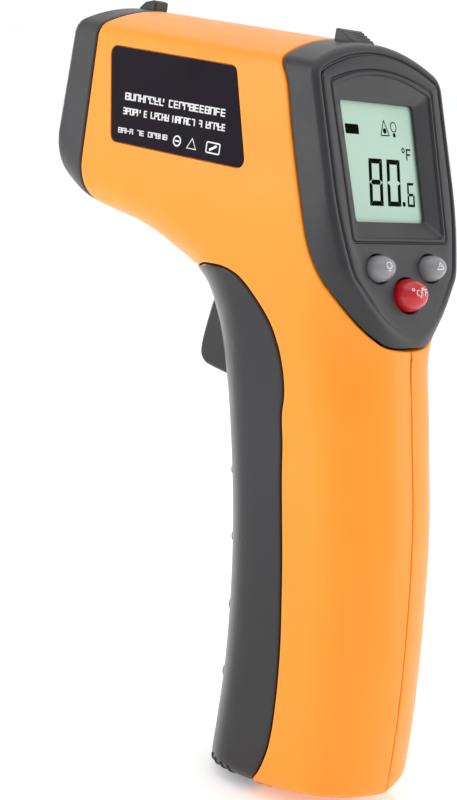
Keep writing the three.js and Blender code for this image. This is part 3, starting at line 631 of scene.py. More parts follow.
def pillow(outline, d0, d1, axes, radius=0.3, steps=3):
    """A prism over a counter-clockwise outline with its edges rounded."""
    rings = []
    for k in range(steps + 1):
        angle = math.pi / 2 * k / steps
        loop = inset(outline, radius * (1 - math.sin(angle)))
        rings.append(np.column_stack([loop, np.full(len(loop), d0 + radius * (1 - math.cos(angle)))]))
    rings += [ring * [1, 1, -1] + [0, 0, d0 + d1] for ring in reversed(rings)]
    points, faces = stack(rings)
    return axes.out(points), faces


def rectangle(a0, a1, b0, b1, radius=0.4):
    return rounded([(a0, b0), (a1, b0), (a1, b1), (a0, b1)], radius)


def circle(radius, count=48, centre=(0, 0)):
    angle = 2 * math.pi * np.arange(count) / count
    return np.stack([centre[0] + radius * np.cos(angle), centre[1] + radius * np.sin(angle)], 1)


def lathe(profile_points, axes, segments=64):
    """A turned piece: (radius, height) points about the third axis; ends on the axis or closes."""
    open_ended = profile_points[0][0] == 0
    ringed = [p for p in profile_points if p[0] > 0]
    rings = [np.column_stack([circle(r, segments), np.full(segments, h)]) for r, h in ringed]
    if not open_ended:
        points, faces = stack(rings, looped=True)
        return axes.out(points), faces
    points, faces = stack(rings, capped=False)
    low, high = len(points), len(points) + 1
    points = np.vstack([points, [(0, 0, profile_points[0][1]), (0, 0, profile_points[-1][1])]])
    last = (len(rings) - 1) * segments
    for i in range(segments):
        j = (i + 1) % segments
        faces.append((low, j, i))
        faces.append((high, last + i, last + j))
    return axes.out(points), faces


def softened(points, radius=0.15, steps=3):
    """An open (radius, height) profile with its inner corners rounded."""
    out = [points[0]]
    for before, corner, after in zip(points, points[1:], points[2:]):
        before, corner, after = (np.array(p, float) for p in (before, corner, after))
        a, b = np.linalg.norm(before - corner), np.linalg.norm(after - corner)
        cut = min(radius, a * 0.45, b * 0.45)
        start = corner + (before - corner) / a * cut
        end = corner + (after - corner) / b * cut
        for k in range(steps + 1):
            t = k / steps
            out.append(tuple((1 - t) ** 2 * start + 2 * t * (1 - t) * corner + t**2 * end))
    out.append(points[-1])
    return out


def tube(points, radius, sides=12):
    """A round rod along points, with a frame carried along it."""
    points = np.asarray(points, float)
    along = np.gradient(points, axis=0)
    along /= np.linalg.norm(along, axis=1)[:, None]
    across = np.cross(along[0], (0.3, 0.2, 1.0))
    rings = []
    ring = circle(radius, sides)
    for point, direction in zip(points, along):
        across = across - (across @ direction) * direction
        across /= np.linalg.norm(across)
        other = np.cross(direction, across)
        rings.append(point + ring[:, :1] * across + ring[:, 1:] * other)
    return stack(rings)


def carved(piece, cutter, operation="DIFFERENCE"):
    """The piece after a solid boolean with the cutter, which is used up."""
    modifier = piece.modifiers.new("cut", "BOOLEAN")
    modifier.operation = operation
    modifier.solver = "MANIFOLD"
    modifier.object = cutter
    depsgraph = bpy.context.evaluated_depsgraph_get()
    mesh = bpy.data.meshes.new_from_object(piece.evaluated_get(depsgraph))
    piece.modifiers.clear()
    old = piece.data
    piece.data = mesh
    bpy.data.meshes.remove(old)
    bpy.data.objects.remove(cutter)
    return piece


def cutter(*parts):
    """A helper solid in drawing millimetres."""
    points, faces = joined(*parts)
    mesh = bpy.data.meshes.new("cutter")
    placed = (points + SHIFT) * MM
    mesh.from_pydata(placed.tolist(), [], faces)
    bm = bmesh.new()
    bm.from_mesh(mesh)
    bmesh.ops.recalc_face_normals(bm, faces=bm.faces)
    bm.to_mesh(mesh)
    bm.free()
    tool = bpy.data.objects.new("cutter", mesh)
    bpy.context.scene.collection.objects.link(tool)
    return tool


def resharpened(piece, sharp=38.0):
    bm = bmesh.new()
    bm.from_mesh(piece.data)
    for edge in bm.edges:
        if len(edge.link_faces) == 2:
            edge.smooth = edge.calc_face_angle(0) < math.radians(sharp)
    for face in bm.faces:
        face.smooth = True
    bm.to_mesh(piece.data)
    bm.free()
    return piece


# ---- materials ----------------------------------------------------------------------------
def node_material(name, colour, roughness, metallic=0.0, coat=0.0, specular=0.5):
    """A principled material, its node tree and its shader."""
    material = bpy.data.materials.new(name)
    material.use_nodes = True
    nodes = material.node_tree.nodes
    shader = nodes["Principled BSDF"]
    shader.inputs["Base Color"].default_value = (*colour, 1)
    shader.inputs["Roughness"].default_value = roughness
    shader.inputs["Metallic"].default_value = metallic
    shader.inputs["Coat Weight"].default_value = coat
    shader.inputs["Coat Roughness"].default_value = 0.12
    shader.inputs["Specular IOR Level"].default_value = specular
    return material, material.node_tree, shader


def noise(tree, scale, detail=3.0, stretch=(1, 1, 1)):
    """Noise over the object, scale in features per metre."""
    coordinates = tree.nodes.new("ShaderNodeTexCoord")
    mapping = tree.nodes.new("ShaderNodeMapping")
    mapping.inputs["Scale"].default_value = stretch
    tree.links.new(coordinates.outputs["Object"], mapping.inputs["Vector"])
    texture = tree.nodes.new("ShaderNodeTexNoise")
    texture.inputs["Scale"].default_value = scale
    texture.inputs["Detail"].default_value = detail
    tree.links.new(mapping.outputs["Vector"], texture.inputs["Vector"])
    return texture.outputs["Fac"]


def ramp(tree, source, low, high, a, b):
    """The source's range low to high mapped to a to b."""
    node = tree.nodes.new("ShaderNodeMapRange")
    node.inputs["From Min"].default_value = low
    node.inputs["From Max"].default_value = high
    node.inputs["To Min"].default_value = a
    node.inputs["To Max"].default_value = b
    tree.links.new(source, node.inputs["Value"])
    return node.outputs["Result"]


def tint(tree, source, first, second):
    node = tree.nodes.new("ShaderNodeMix")
    node.data_type = "RGBA"
    node.inputs["A"].default_value = (*first, 1)
    node.inputs["B"].default_value = (*second, 1)
    tree.links.new(source, node.inputs["Factor"])
    return node.outputs["Result"]


def moulded(name, colour, roughness, grain=1200, depth=0.03, vary=0.12, coat=0.0, specular=0.5):
    """Moulded plastic: a fine spark-eroded grain, faint flow variation and handled patches."""
    material, tree, shader = node_material(name, colour, roughness, coat=coat, specular=specular)
    darker = tuple(c * (1 - vary) for c in colour)
    lighter = tuple(min(c * (1 + vary * 0.6), 1) for c in colour)
    flow = noise(tree, 28, 4.0)
    shade = tint(tree, ramp(tree, flow, 0.3, 0.7, 0, 1), darker, lighter)
    tree.links.new(shade, shader.inputs["Base Color"])
    handled = noise(tree, 90, 5.0)
    tree.links.new(ramp(tree, handled, 0.3, 0.7, roughness * 0.88, roughness * 1.12),
                   shader.inputs["Roughness"])
    bump = tree.nodes.new("ShaderNodeBump")
    bump.inputs["Strength"].default_value = 0.5
    bump.inputs["Distance"].default_value = depth * MM
    tree.links.new(noise(tree, grain, 2.0), bump.inputs["Height"])
    tree.links.new(bump.outputs["Normal"], shader.inputs["Normal"])
    return material


def metal(name, colour, roughness, grain=900, stretch=(1, 1, 1)):
    """Metal with fine tool marks and faint tarnish."""
    material, tree, shader = node_material(name, colour, roughness, metallic=1.0)
    dull = tuple(c * 0.78 for c in colour)
    tree.links.new(tint(tree, ramp(tree, noise(tree, 300, 4.0), 0.35, 0.7, 0, 1), colour, dull),
                   shader.inputs["Base Color"])
    marks = noise(tree, grain, 3.0, stretch)
    tree.links.new(ramp(tree, marks, 0.2, 0.8, roughness * 0.7, roughness * 1.3),
                   shader.inputs["Roughness"])
    bump = tree.nodes.new("ShaderNodeBump")
    bump.inputs["Strength"].default_value = 0.3
    bump.inputs["Distance"].default_value = 0.01 * MM
    tree.links.new(marks, bump.inputs["Height"])
    tree.links.new(bump.outputs["Normal"], shader.inputs["Normal"])
    return material


def solder_mask():
    """Green circuit board with faint copper tracks under the mask."""
    material, tree, shader = node_material("solder_mask", (0.02, 0.17, 0.06), 0.35, coat=0.3)
    coordinates = tree.nodes.new("ShaderNodeTexCoord")
    brick = tree.nodes.new("ShaderNodeTexBrick")
    brick.inputs["Scale"].default_value = 320
    brick.inputs["Mortar Size"].default_value = 0.03
    brick.inputs["Color1"].default_value = (0.02, 0.17, 0.06, 1)
    brick.inputs["Color2"].default_value = (0.02, 0.15, 0.055, 1)
    brick.inputs["Mortar"].default_value = (0.05, 0.27, 0.1, 1)
    tree.links.new(coordinates.outputs["Object"], brick.inputs["Vector"])
    tree.links.new(brick.outputs["Color"], shader.inputs["Base Color"])
    tree.links.new(ramp(tree, noise(tree, 200), 0.3, 0.7, 0.3, 0.45), shader.inputs["Roughness"])
    return material


def glass_pane(name, colour, roughness, transmission):
    material, tree, shader = node_material(name, colour, roughness)
    shader.inputs["Transmission Weight"].default_value = transmission
    tree.links.new(ramp(tree, noise(tree, 150), 0.3, 0.7, roughness, roughness + 0.05),
                   shader.inputs["Roughness"])
    return material


def display_glass():
    """Reflective display: pale green field with a faint vertical drift of tone."""
    material, tree, shader = node_material("display_glass", (0.44, 0.61, 0.515), 0.35, specular=0.2)
    drift = tint(tree, ramp(tree, noise(tree, 40, 1.0), 0.3, 0.7, 0, 1),
                 (0.42, 0.59, 0.49), (0.46, 0.63, 0.535))
    tree.links.new(drift, shader.inputs["Base Color"])
    tree.links.new(ramp(tree, noise(tree, 500), 0.3, 0.7, 0.32, 0.38), shader.inputs["Roughness"])
    return material


ORANGE = moulded("orange_abs", (1.0, 0.315, 0.018), 0.38, grain=1500, depth=0.012, vary=0.04, specular=0.38)
CHARCOAL = moulded("charcoal_abs", (0.026, 0.025, 0.028), 0.3, grain=2400, depth=0.03, specular=0.35)
BEZEL = moulded("bezel_abs", (0.024, 0.024, 0.027), 0.38, grain=2400, depth=0.02, specular=0.4)
NOSE_BLACK = moulded("nose_abs", (0.036, 0.034, 0.037), 0.45, grain=2400, depth=0.03, specular=0.4)
FUNNEL_BLACK = moulded("funnel_black", (0.022, 0.022, 0.024), 0.6)
LABEL_BLACK = moulded("label_film", (0.010, 0.006, 0.012), 0.5, grain=900, depth=0.004, specular=0.08)
PRINT = moulded("label_print", (0.78, 0.78, 0.80), 0.45, grain=3000, depth=0.004, vary=0.08)
KEY_GREY = moulded("key_grey", (0.25, 0.25, 0.26), 0.3, grain=1500, depth=0.008, coat=0.2)
KEY_RED = moulded("key_red", (0.55, 0.006, 0.014), 0.25, grain=1500, depth=0.006, coat=0.2)
DARK = moulded("dark_plastic", (0.028, 0.028, 0.031), 0.5)
SWITCH_RED = moulded("switch_red", (0.5, 0.03, 0.02), 0.35)
TRAY_BLACK = moulded("tray_abs", (0.03, 0.03, 0.034), 0.55)
CELL_RED = moulded("cell_wrap", (0.47, 0.03, 0.02), 0.25, depth=0.005, coat=0.4)
SEGMENT = moulded("lcd_segment", (0.004, 0.006, 0.005), 0.7, depth=0.002, specular=0.0)
DISPLAY = display_glass()
DIFFUSER = moulded("diffuser", (0.82, 0.86, 0.82), 0.5)
RUBBER = moulded("elastomer", (0.6, 0.56, 0.58), 0.7)
RIBBON = moulded("ribbon", (0.62, 0.62, 0.64), 0.5)
WIRES = {"red": moulded("wire_red", (0.45, 0.02, 0.02), 0.35),
         "black": moulded("wire_black", (0.02, 0.02, 0.02), 0.35),
         "blue": moulded("wire_blue", (0.03, 0.08, 0.33), 0.35)}
STEEL = metal("pin_steel", (0.58, 0.59, 0.61), 0.25)
ZINC = metal("screw_zinc", (0.44, 0.45, 0.47), 0.32)
SPRING = metal("spring_nickel", (0.66, 0.67, 0.69), 0.2)
CAN = metal("sensor_can_metal", (0.66, 0.67, 0.69), 0.22)
BRASS = metal("laser_brass_metal", (0.7, 0.5, 0.2), 0.25)
BOARD = solder_mask()
IR_GLASS = glass_pane("ir_lens_glass", (0.5, 0.53, 0.58), 0.05, 0.6)
CLEAR = glass_pane("laser_lens_glass", (0.9, 0.93, 0.94), 0.02, 0.9)


# ---- housing ------------------------------------------------------------------------------
def middle_drop(radius=0.3):
    """Rounding of the two halves where they meet on the middle plane."""
    return rounding(side_map.half - GAP / 2, radius)


def prism_tool(points, d0, d1, axes=SIDE):
    loop = np.asarray(points, float)
    rings = [np.column_stack([loop, np.full(len(loop), d)]) for d in (d0, d1)]
    points, faces = stack(rings)
    return axes.out(points), faces


def block(x0, x1, y0, y1, z0, z1):
    return prism_tool([(y0, z0), (y1, z0), (y1, z1), (y0, z1)], x0, x1)


def peg(radius, d0, d1, axes, count=40):
    return prism_tool(circle(radius, count), d0, d1, axes)


def counterbore(y, z, wall):
    """Bore, head recess and a small chamfer at its mouth."""
    outline = [(0, -1), (1.4, -1), (1.4, wall - 3.2), (2.5, wall - 3.2), (2.5, wall - 0.25),
               (2.95, wall + 0.3),
               (2.95, 25), (0, 25)]
    return lathe(outline, SIDE.at(y, z), 40)


ACROSS = Axes((0, 0, 0), (0, 1, 0), (1, 0, 0), (0, 0, -1))


def rib_plate(y0, y1, z0, z1, widest=25.0):
    """A level plate from the middle plane to just inside the wall, y0 > y1."""
    outline = [(y0, GAP / 2)]
    for y in np.linspace(y0, y1, 24):
        reach = min(half_width(y, z) for z in (z0, z1)) - 1.0
        if reach < 1.0:
            break
        outline.append((y, min(reach, widest)))
    outline.append((outline[-1][0], GAP / 2))
    return prism_tool(outline, -z1, -z0, ACROSS)


def ring_post(radius, bore, d0, d1, axes):
    return lathe([(bore, d0), (radius, d0), (radius, d1), (bore, d1)], axes, 32)


def seam_lip():
    """Strips along the inside of the middle seam, which close the gap between the halves."""
    front, rear = CURVES[0][0][:, :2], CURVES[1][0][:, :2]
    front = front[(front[:, 0] > 14) & (front[:, 0] < 36)]
    rear = rear[(rear[:, 1] > 9) & (rear[:, 1] < 92)]
    roof = np.array([(37, TOP), (-4, TOP)])
    bands = []
    for line, inside in ((front, -1), (rear, 1), (roof, 1)):
        near, far = shifted(line, inside * (WALL + 0.1)), shifted(line, inside * (WALL + 0.9))
        bands.append(prism_tool(np.vstack([near, far[::-1]]), -0.12, 1.0))
    return bands


def shell_ribs(side):
    """Ribs, screw posts and hinge lug inside one half, kept inside the wall."""
    parts = [rib_plate(-10.1, -24.2, 84, 86, 10), block(0.15, 4.9, -11.7, -10.1, 84, 92.6),
             block(0.15, 4.9, -15.6, -13.9, 85, 105), rib_plate(-33, -50, 19, 20.6),
             rib_plate(-31.5, -50, 59, 60.6), rib_plate(-24.5, -50, 84, 86)]
    for y, z in CASE_SCREWS:
        around = circle(2.6, 12, (y, z))
        top = np.sqrt(np.maximum(signed_square(around), 0)).min() - 0.8
        if side > 0:
            top = min(top, half_width(y, z) - 3.4)
        parts.append(ring_post(2.6, 1.4, GAP / 2, top, SIDE.at(y, z)))
    parts.append(ring_post(3.0, 1.1, SLOT_HALF, half_width(*TRIGGER_PIVOT) - 1.0, SIDE.at(*TRIGGER_PIVOT)))
    y, z = HINGE
    parts.append(ring_post(1.2, 0.68, 6.2, 9, SIDE.at(y, z)))
    parts.append(prism_tool([(y - 3, z - 0.75), (y - 0.8, z - 0.95), (y - 0.8, z + 0.95), (y - 3, z + 1.15)],
                            6.2, 9))
    if side < 0:
        parts += seam_lip()
    points, faces = joined(*parts)
    return mirrored((points, faces)) if side < 0 else (points, faces)


def casing_half(name, side):
    drop = np.maximum(seam_drop, middle_drop())
    if side < 0:
        inside_label = within(inset(label_line, -0.01), P)
        drop = np.where(inside_label, 0.5, drop)
    outer, inner, faces, _ = lifted(in_shell, drop, side)
    shell = make(name + "_body", *thickened(outer, inner, faces), ORANGE, "casing", name, "orange_abs")
    if side > 0:
        for y, z in CASE_SCREWS:
            carved(shell, cutter(counterbore(y, z, half_width(y, z))))
    carved(shell, cutter(block(-4.4, 4.4, -3.6, 10.4, 98, 106.8)))
    carved(shell, cutter(block(-6.2, 6.2, HINGE[0] - 1.6, HINGE[0] + 3, -3, HINGE[1] + 3.75)))
    resharpened(shell)
    ribs = make(name + "_ribs", *shell_ribs(side), ORANGE, "casing", (), "orange_abs")
    return shell, ribs


casing_half("left_shell", -1)
casing_half("right_shell", 1)


def capped(outer, inner, faces, axes, on_plane, holes=(), ridges=(), fade=None, thickness=WALL):
    """Closes a skin with the flat face of some axes.

    holes are lists of (loop, height), from the face inwards; ridges are (inset, height) of lines
    that follow the rim; fade scales their height over the face.
    """
    after = {b: a for a, b in open_edges(faces) if on_plane[a] and on_plane[b]}
    rim = [next(iter(after))]
    while after[rim[-1]] != rim[0]:
        rim.append(after[rim[-1]])
    edge = axes.into(outer[rim])[:, :2]
    points = edge.tolist()
    edges = [(k, (k + 1) % len(rim)) for k in range(len(rim))]
    heights = [0.0] * len(rim)

    def add(loop, height):
        first = len(points)
        points.extend(np.asarray(loop).tolist())
        heights.extend([height] * len(loop))
        edges.extend((first + k, first + (k + 1) % len(loop)) for k in range(len(loop)))
        return first

    for distance, height in ridges:
        add(inset(edge, distance), height)
    first_of = [add(hole[0][0], 0.0) for hole in holes]
    made = delaunay_2d_cdt([Vector(p) for p in points], edges, [], 0, 1e-5, True)
    flat = np.array([tuple(v) for v in made[0]])
    triangles = np.array([f for f in made[2] if len(f) == 3])
    centre = flat[triangles].mean(1)
    keep = within(edge, centre)
    for hole in holes:
        keep &= ~within(np.asarray(hole[0][0]), centre)
    triangles = triangles[keep]
    triangles = counterclockwise(flat, triangles)
    number = {}
    new_outer, new_inner = [], []
    for k, sources in enumerate(made[3]):
        known = [s for s in sources if s < len(points)]
        on_rim = [s for s in known if s < len(rim)]
        if on_rim:
            number[k] = rim[on_rim[0]]
            continue
        height = heights[known[0]] if known else 0.0
        if fade and height:
            height *= fade(flat[k])
        number[k] = len(outer) + len(new_outer)
        new_outer.append(axes.out([*flat[k], height]))
        new_inner.append(axes.out([*flat[k], -thickness]))
    place_of = {s: number[k] for k, sources in enumerate(made[3]) for s in sources}
    faces = [tuple(f) for f in faces] + [tuple(number[v] for v in t) for t in triangles]
    for hole, first in zip(holes, first_of):
        count = len(hole[0][0])
        ring = [place_of[first + k] for k in range(count)]
        for loop, height in hole[1:]:
            here = len(outer) + len(new_outer)
            new_outer.extend(axes.out(np.column_stack([loop, np.full(count, height)])))
            new_inner.extend(axes.out(np.column_stack([loop, np.full(count, -thickness)])))
            fresh = [here + k for k in range(count)]
            faces += [(ring[k], ring[(k + 1) % count], fresh[(k + 1) % count], fresh[k])
                      for k in range(count)]
            ring = fresh
    return np.vstack([outer, new_outer]), np.vstack([inner, new_inner]), faces


def round_hole(centre, radius, lip=0.3, thickness=WALL, count=64, flat=1.0):
    """Loops of a round or oval hole with a rounded mouth, from the face inwards."""
    loops = []
    for k in range(5):
        angle = math.pi / 2 * k / 4
        mouth = circle(radius + lip * (1 - math.sin(angle)), count) * [1, flat] + centre
        loops.append((mouth, -lip * (1 - math.cos(angle))))
    loops.append((mouth, -thickness))
    return loops


def well_loop(low, high, bottom, top, arch, corner, grow=0.0):
    """Outline of the display well or opening; loops of one kind have matching points."""
    corners = [(-low - grow, bottom - grow), (low + grow, bottom - grow),
               (high + grow, top + grow), (-high - grow, top + grow)]
    arcs = rounded(corners, corner, 6).reshape(4, -1, 2)
    loop = []
    for k, count in enumerate((10, 14, 22, 14)):
        loop.extend(arcs[k])
        start, end = arcs[k][-1], arcs[(k + 1) % 4][0]
        for t in np.arange(1, count) / count:
            point = start + t * (end - start)
            if k == 2:
                point = point + [0, arch * 4 * t * (1 - t)]
            loop.append(point)
    return np.array(loop)


def nose_cap():
    depth = nose_depth(P)
    outer, inner, faces, used = lifted(in_nose, seam_drop, 0, planes=[(NOSE, depth, NOSE_RIM)])
    on_plane = depth[used] < 0.001
    up = 1 / math.cos(NOSE_TILT)
    holes = [round_hole((0, (FUNNEL_Z - NOSE_FACE_Z) * up), FUNNEL_HOLE, 0.5),
             round_hole((0, (LASER_Z - NOSE_FACE_Z) * up), 1.9, 0.3, count=40)]
    cap = capped(outer, inner, faces, NOSE, on_plane, holes)
    piece = make("nose_cap_body", *thickened(*cap), NOSE_BLACK, "casing", "nose_cap", "charcoal_abs")
    ramp_points = [(40.4, 149.9), (45.2, 149.9), (45.1, 151.0), (43.6, 152.4), (41.3, 153), (40.4, 152.7)]
    block_shape = pillow(rounded(ramp_points, [0.05, 0.05, 0.4, 0.5, 0.3, 0.2], 4), -2, 2, SIDE, 0.35)
    carved(piece, cutter(block_shape), "UNION")
    return resharpened(piece)


def rear_bezel():
    depth = face_depth(P)
    outer, inner, faces, used = lifted(in_bezel, seam_drop, 0, planes=[(FACE, depth, FACE_RIM)])
    on_plane = depth[used] < 0.001
    opening = (11.4, 12.0, -28.9, -5.6, 0, 0.8)
    mouth = (15.2, 16.2, -32.7, -2.8, 2.6, 1.3)
    well = [(well_loop(*mouth, 0.8), 0), (well_loop(*mouth, 0.68), -0.16), (well_loop(*mouth, 0.5), -0.42),
            (well_loop(*mouth, 0.36), -0.42), (well_loop(*mouth, 0.22), -0.08),
            (well_loop(*mouth, 0.08), 0.0), (well_loop(*mouth, -0.22), 0.0),
            (well_loop(*mouth, -0.42), -0.18),
            (well_loop(*mouth, -0.5), -0.5), (well_loop(*opening, 0.3), -1.74),
            (well_loop(*opening, 0.08), -1.84), (well_loop(*opening), -2.0), (well_loop(*opening), -2.2)]
    holes = [well]
    for u, v, r, flat, _ in BUTTONS.values():
        holes.append(round_hole((u, v), r + 0.38, 0.4, 2.2, flat=flat))
    groove = [(0.08, 0), (0.25, -0.16), (0.42, -0.5), (0.7, -0.5), (0.86, -0.12), (1.05, 0.0)]

    def fade(place):
        return float(smoothstep(place[1], -52, -34))

    cap = capped(outer, inner, faces, FACE, on_plane, holes, groove, fade, 2.2)
    piece = make("rear_bezel_body", *thickened(*cap), BEZEL, "casing", "rear_bezel", "bezel_abs")
    slope = [(-13.4, 149.9), (-8.9, 149.9), (-8.9, 152.8), (-9.3, 153.0), (-9.9, 153.0)]
    for k in range(4):
        y, z = -10.2 - 0.8 * k, 152.75 - 0.42 * k
        slope += [(y, z), (y - 0.35, z - 0.04), (y - 0.45, z - 0.36), (y - 0.7, z - 0.38)]
    slope += [(-13.4, 151.0)]
    block_shape = pillow(np.array(slope), -3.6, 3.6, SIDE, 0.1, 2)
    carved(piece, cutter(block_shape), "UNION")
    return resharpened(piece)


def front_at(z, xs):
    """Places on the door's front skin at a height, for offsets from the middle plane."""
    ys = np.linspace(-20, 24, 440)
    half = np.sqrt(np.maximum(signed_square(np.column_stack([ys, np.full(440, z)])), 0))
    edge = ys[half > 0].max()
    near = (ys > edge - 9) & (half > 0)
    return np.interp(np.abs(xs), half[near][::-1], ys[near][::-1])


def door_rib(z):
    """Half-round bar across the front of the door, flowing into it at both ends."""
    xs = np.linspace(-11.6, 11.6, 49)
    rings = []
    for x, y in zip(xs, front_at(z, xs)):
        swell = math.sqrt(1 - (x / 11.7) ** 4)
        ring = circle(1.0, 20) * [0.85 * swell + 0.08, 0.95 * swell + 0.08]
        rings.append(np.column_stack([np.full(20, x), y - 0.25 + ring[:, 0], z + ring[:, 1]]))
    return stack(rings)


def slot_wall():
    """Wall beside the trigger slot, following the door's front."""
    heights = np.linspace(78.5, 101.4, 20)
    front = [(float(front_at(z, np.array([6.5]))[0]) - 0.15, z) for z in heights]
    seam = door_line[::-1]
    back = [(max(-6.0, float(np.interp(z, seam[:, 1], seam[:, 0])) + 0.4), z) for z in heights[::-1]]
    return prism_tool(front + back, 4.9, 6.0)


def toe_ridges():
    """Short finger ridges over the door's lower edges."""
    parts = []
    for y in (-14.0, -16.0, -18.0, -20.0):
        zs = np.linspace(2.7, 6.2, 15)
        half = np.sqrt(np.maximum(signed_square(np.column_stack([np.full(15, y), zs])), 0))
        ridge = tube(np.column_stack([half - 0.12, np.full(15, y), zs]), 0.38, 10)
        parts += [ridge, mirrored(ridge)]
    return parts


def battery_door():
    slot = np.hypot(np.maximum(side_map.half - SLOT_HALF, 0), np.maximum(SLOT_FLOOR - P[:, 1], 0))
    near_slot = (P[:, 0] > -7.5) & ((side_map.half < 7) | (P[:, 1] > SLOT_FLOOR - 1))
    beside = (P[:, 0] > -7.1) & (P[:, 1] > SLOT_FLOOR - 1) & (side_map.half < SLOT_HALF + 1.2)
    slot_drop = np.where(near_slot & beside, rounding(slot, 0.5), 0)
    outer, inner, faces, used = lifted(in_door & ~in_slot, np.maximum(seam_drop, slot_drop), 0)
    fork = (P[used][:, 1] > SLOT_FLOOR - 0.01) & (P[used][:, 0] > -7.01)
    limit = np.where(fork, SLOT_HALF, 0)
    inner[:, 0] = np.sign(outer[:, 0]) * np.maximum(np.abs(inner[:, 0]), limit)
    door = make("battery_door_body", *thickened(outer, inner, faces), CHARCOAL, "door", "battery_door",
                "charcoal_abs")
    carved(door, cutter(block(-9.3, 9.3, -30, HINGE[0] + 1.5, -3, HINGE[1] + 4.75)))
    for z in RIB_Z:
        carved(door, cutter(door_rib(z)), "UNION")
    for ridge in toe_ridges():
        carved(door, cutter(ridge), "UNION")
    resharpened(door)
    y, z = HINGE
    knuckle = prism_tool([(y + 2, z - 0.95), (y + 2, z + 0.95), (y + 0.8, z + 0.95), (y + 0.8, z - 0.95)],
                         2.3, 5.9)
    barrel = ring_post(1.2, 0.68, 2.3, 5.9, SIDE.at(y, z))
    wall = slot_wall()
    parts = [knuckle, barrel, wall, mirrored(knuckle), mirrored(barrel), mirrored(wall)]
    make("battery_door_lugs", *joined(*parts), CHARCOAL, "door", (), "charcoal_abs")
    return door


nose_cap()
rear_bezel()
battery_door()


# ---- trigger ------------------------------------------------------------------------------
def trigger():
    outline = [(4.9, 109.0), (8.9, 102.6), (11.2, 96.8), (12.4, 91.0), (13.05, 86.0), (12.9, 83.4),
               (11.9, 82.0), (10.2, 81.3), (3.5, 80.5), (0.2, 80.7), (-1.6, 81.8), (-2.3, 84),
               (-2.35, 90), (-2.0, 98), (-0.9, 107)]
    closed = catmull(outline + outline[:3], 6)[6:-12]
    loop = resampled(closed, 0.5, True)[::-1]
    body = pillow(loop, -TRIGGER_HALF, TRIGGER_HALF, SIDE, 1.3, 6)
    hub = lathe(softened([(0, -TRIGGER_HALF), (3.4, -TRIGGER_HALF), (3.4, TRIGGER_HALF), (0, TRIGGER_HALF)],
                         0.5), SIDE.at(*TRIGGER_PIVOT), 48)
    piece = make("trigger_body", *body, CHARCOAL, "trigger_arm", "trigger", "charcoal_abs")
    carved(piece, cutter(hub), "UNION")
    carved(piece, cutter(peg(1.05, -6, 6, SIDE.at(*TRIGGER_PIVOT))))
    carved(piece, cutter(peg(2.9, -6, 1.2, Axes((0, 0, 86.5), (-1, 0, 0), (0, 0, 1), (0, 1, 0)))))
    return resharpened(piece)


def coil(start, end, radius, wire, turns, axes, narrow=1.0):
    count = int(turns * 24)
    angle = 2 * math.pi * turns * np.arange(count + 1) / count
    share = np.arange(count + 1) / count
    reach = radius * (1 + (narrow - 1) * share)
    path = np.column_stack([reach * np.cos(angle), reach * np.sin(angle), start + (end - start) * share])
    return tube(axes.out(path), wire, 10)


trigger()
pin = softened([(0, -8.5), (1.0, -8.5), (1.0, 8.5), (0, 8.5)], 0.25)
make("trigger_pin_body", *lathe(pin, SIDE.at(*TRIGGER_PIVOT), 40), STEEL, "casing", "trigger_pin",
     "steel_pin")
spring_axes = Axes((0, 0, 86.5), (1, 0, 0), (0, 0, -1), (0, 1, 0))
spring = make("trigger_spring_coil", *coil(-9.5, 0.6, 1.85, 0.28, 7, spring_axes), SPRING, "casing",
              "trigger_spring", "spring_steel")
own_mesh(spring)
switch_axes = Axes((0, 0, 0), (1, 0, 0), (0, 0, 1), (0, -1, 0))
switch_block = pillow(rectangle(-3, 3, 93.2, 105, 0.4), 7, 13.6, switch_axes, 0.25)
make("trigger_switch_body", *switch_block, DARK, "casing", "trigger_switch", "switch_body")
plunger_axes = Axes((0, 0, 98), (1, 0, 0), (0, 0, -1), (0, 1, 0))
make("switch_plunger_body", *lathe(softened([(0, -9.2), (0.8, -9.2), (0.8, -2.5), (0, -2.5)], 0.35),
                                   plunger_axes, 32), SWITCH_RED, "plunger", "switch_plunger", "switch_tip")


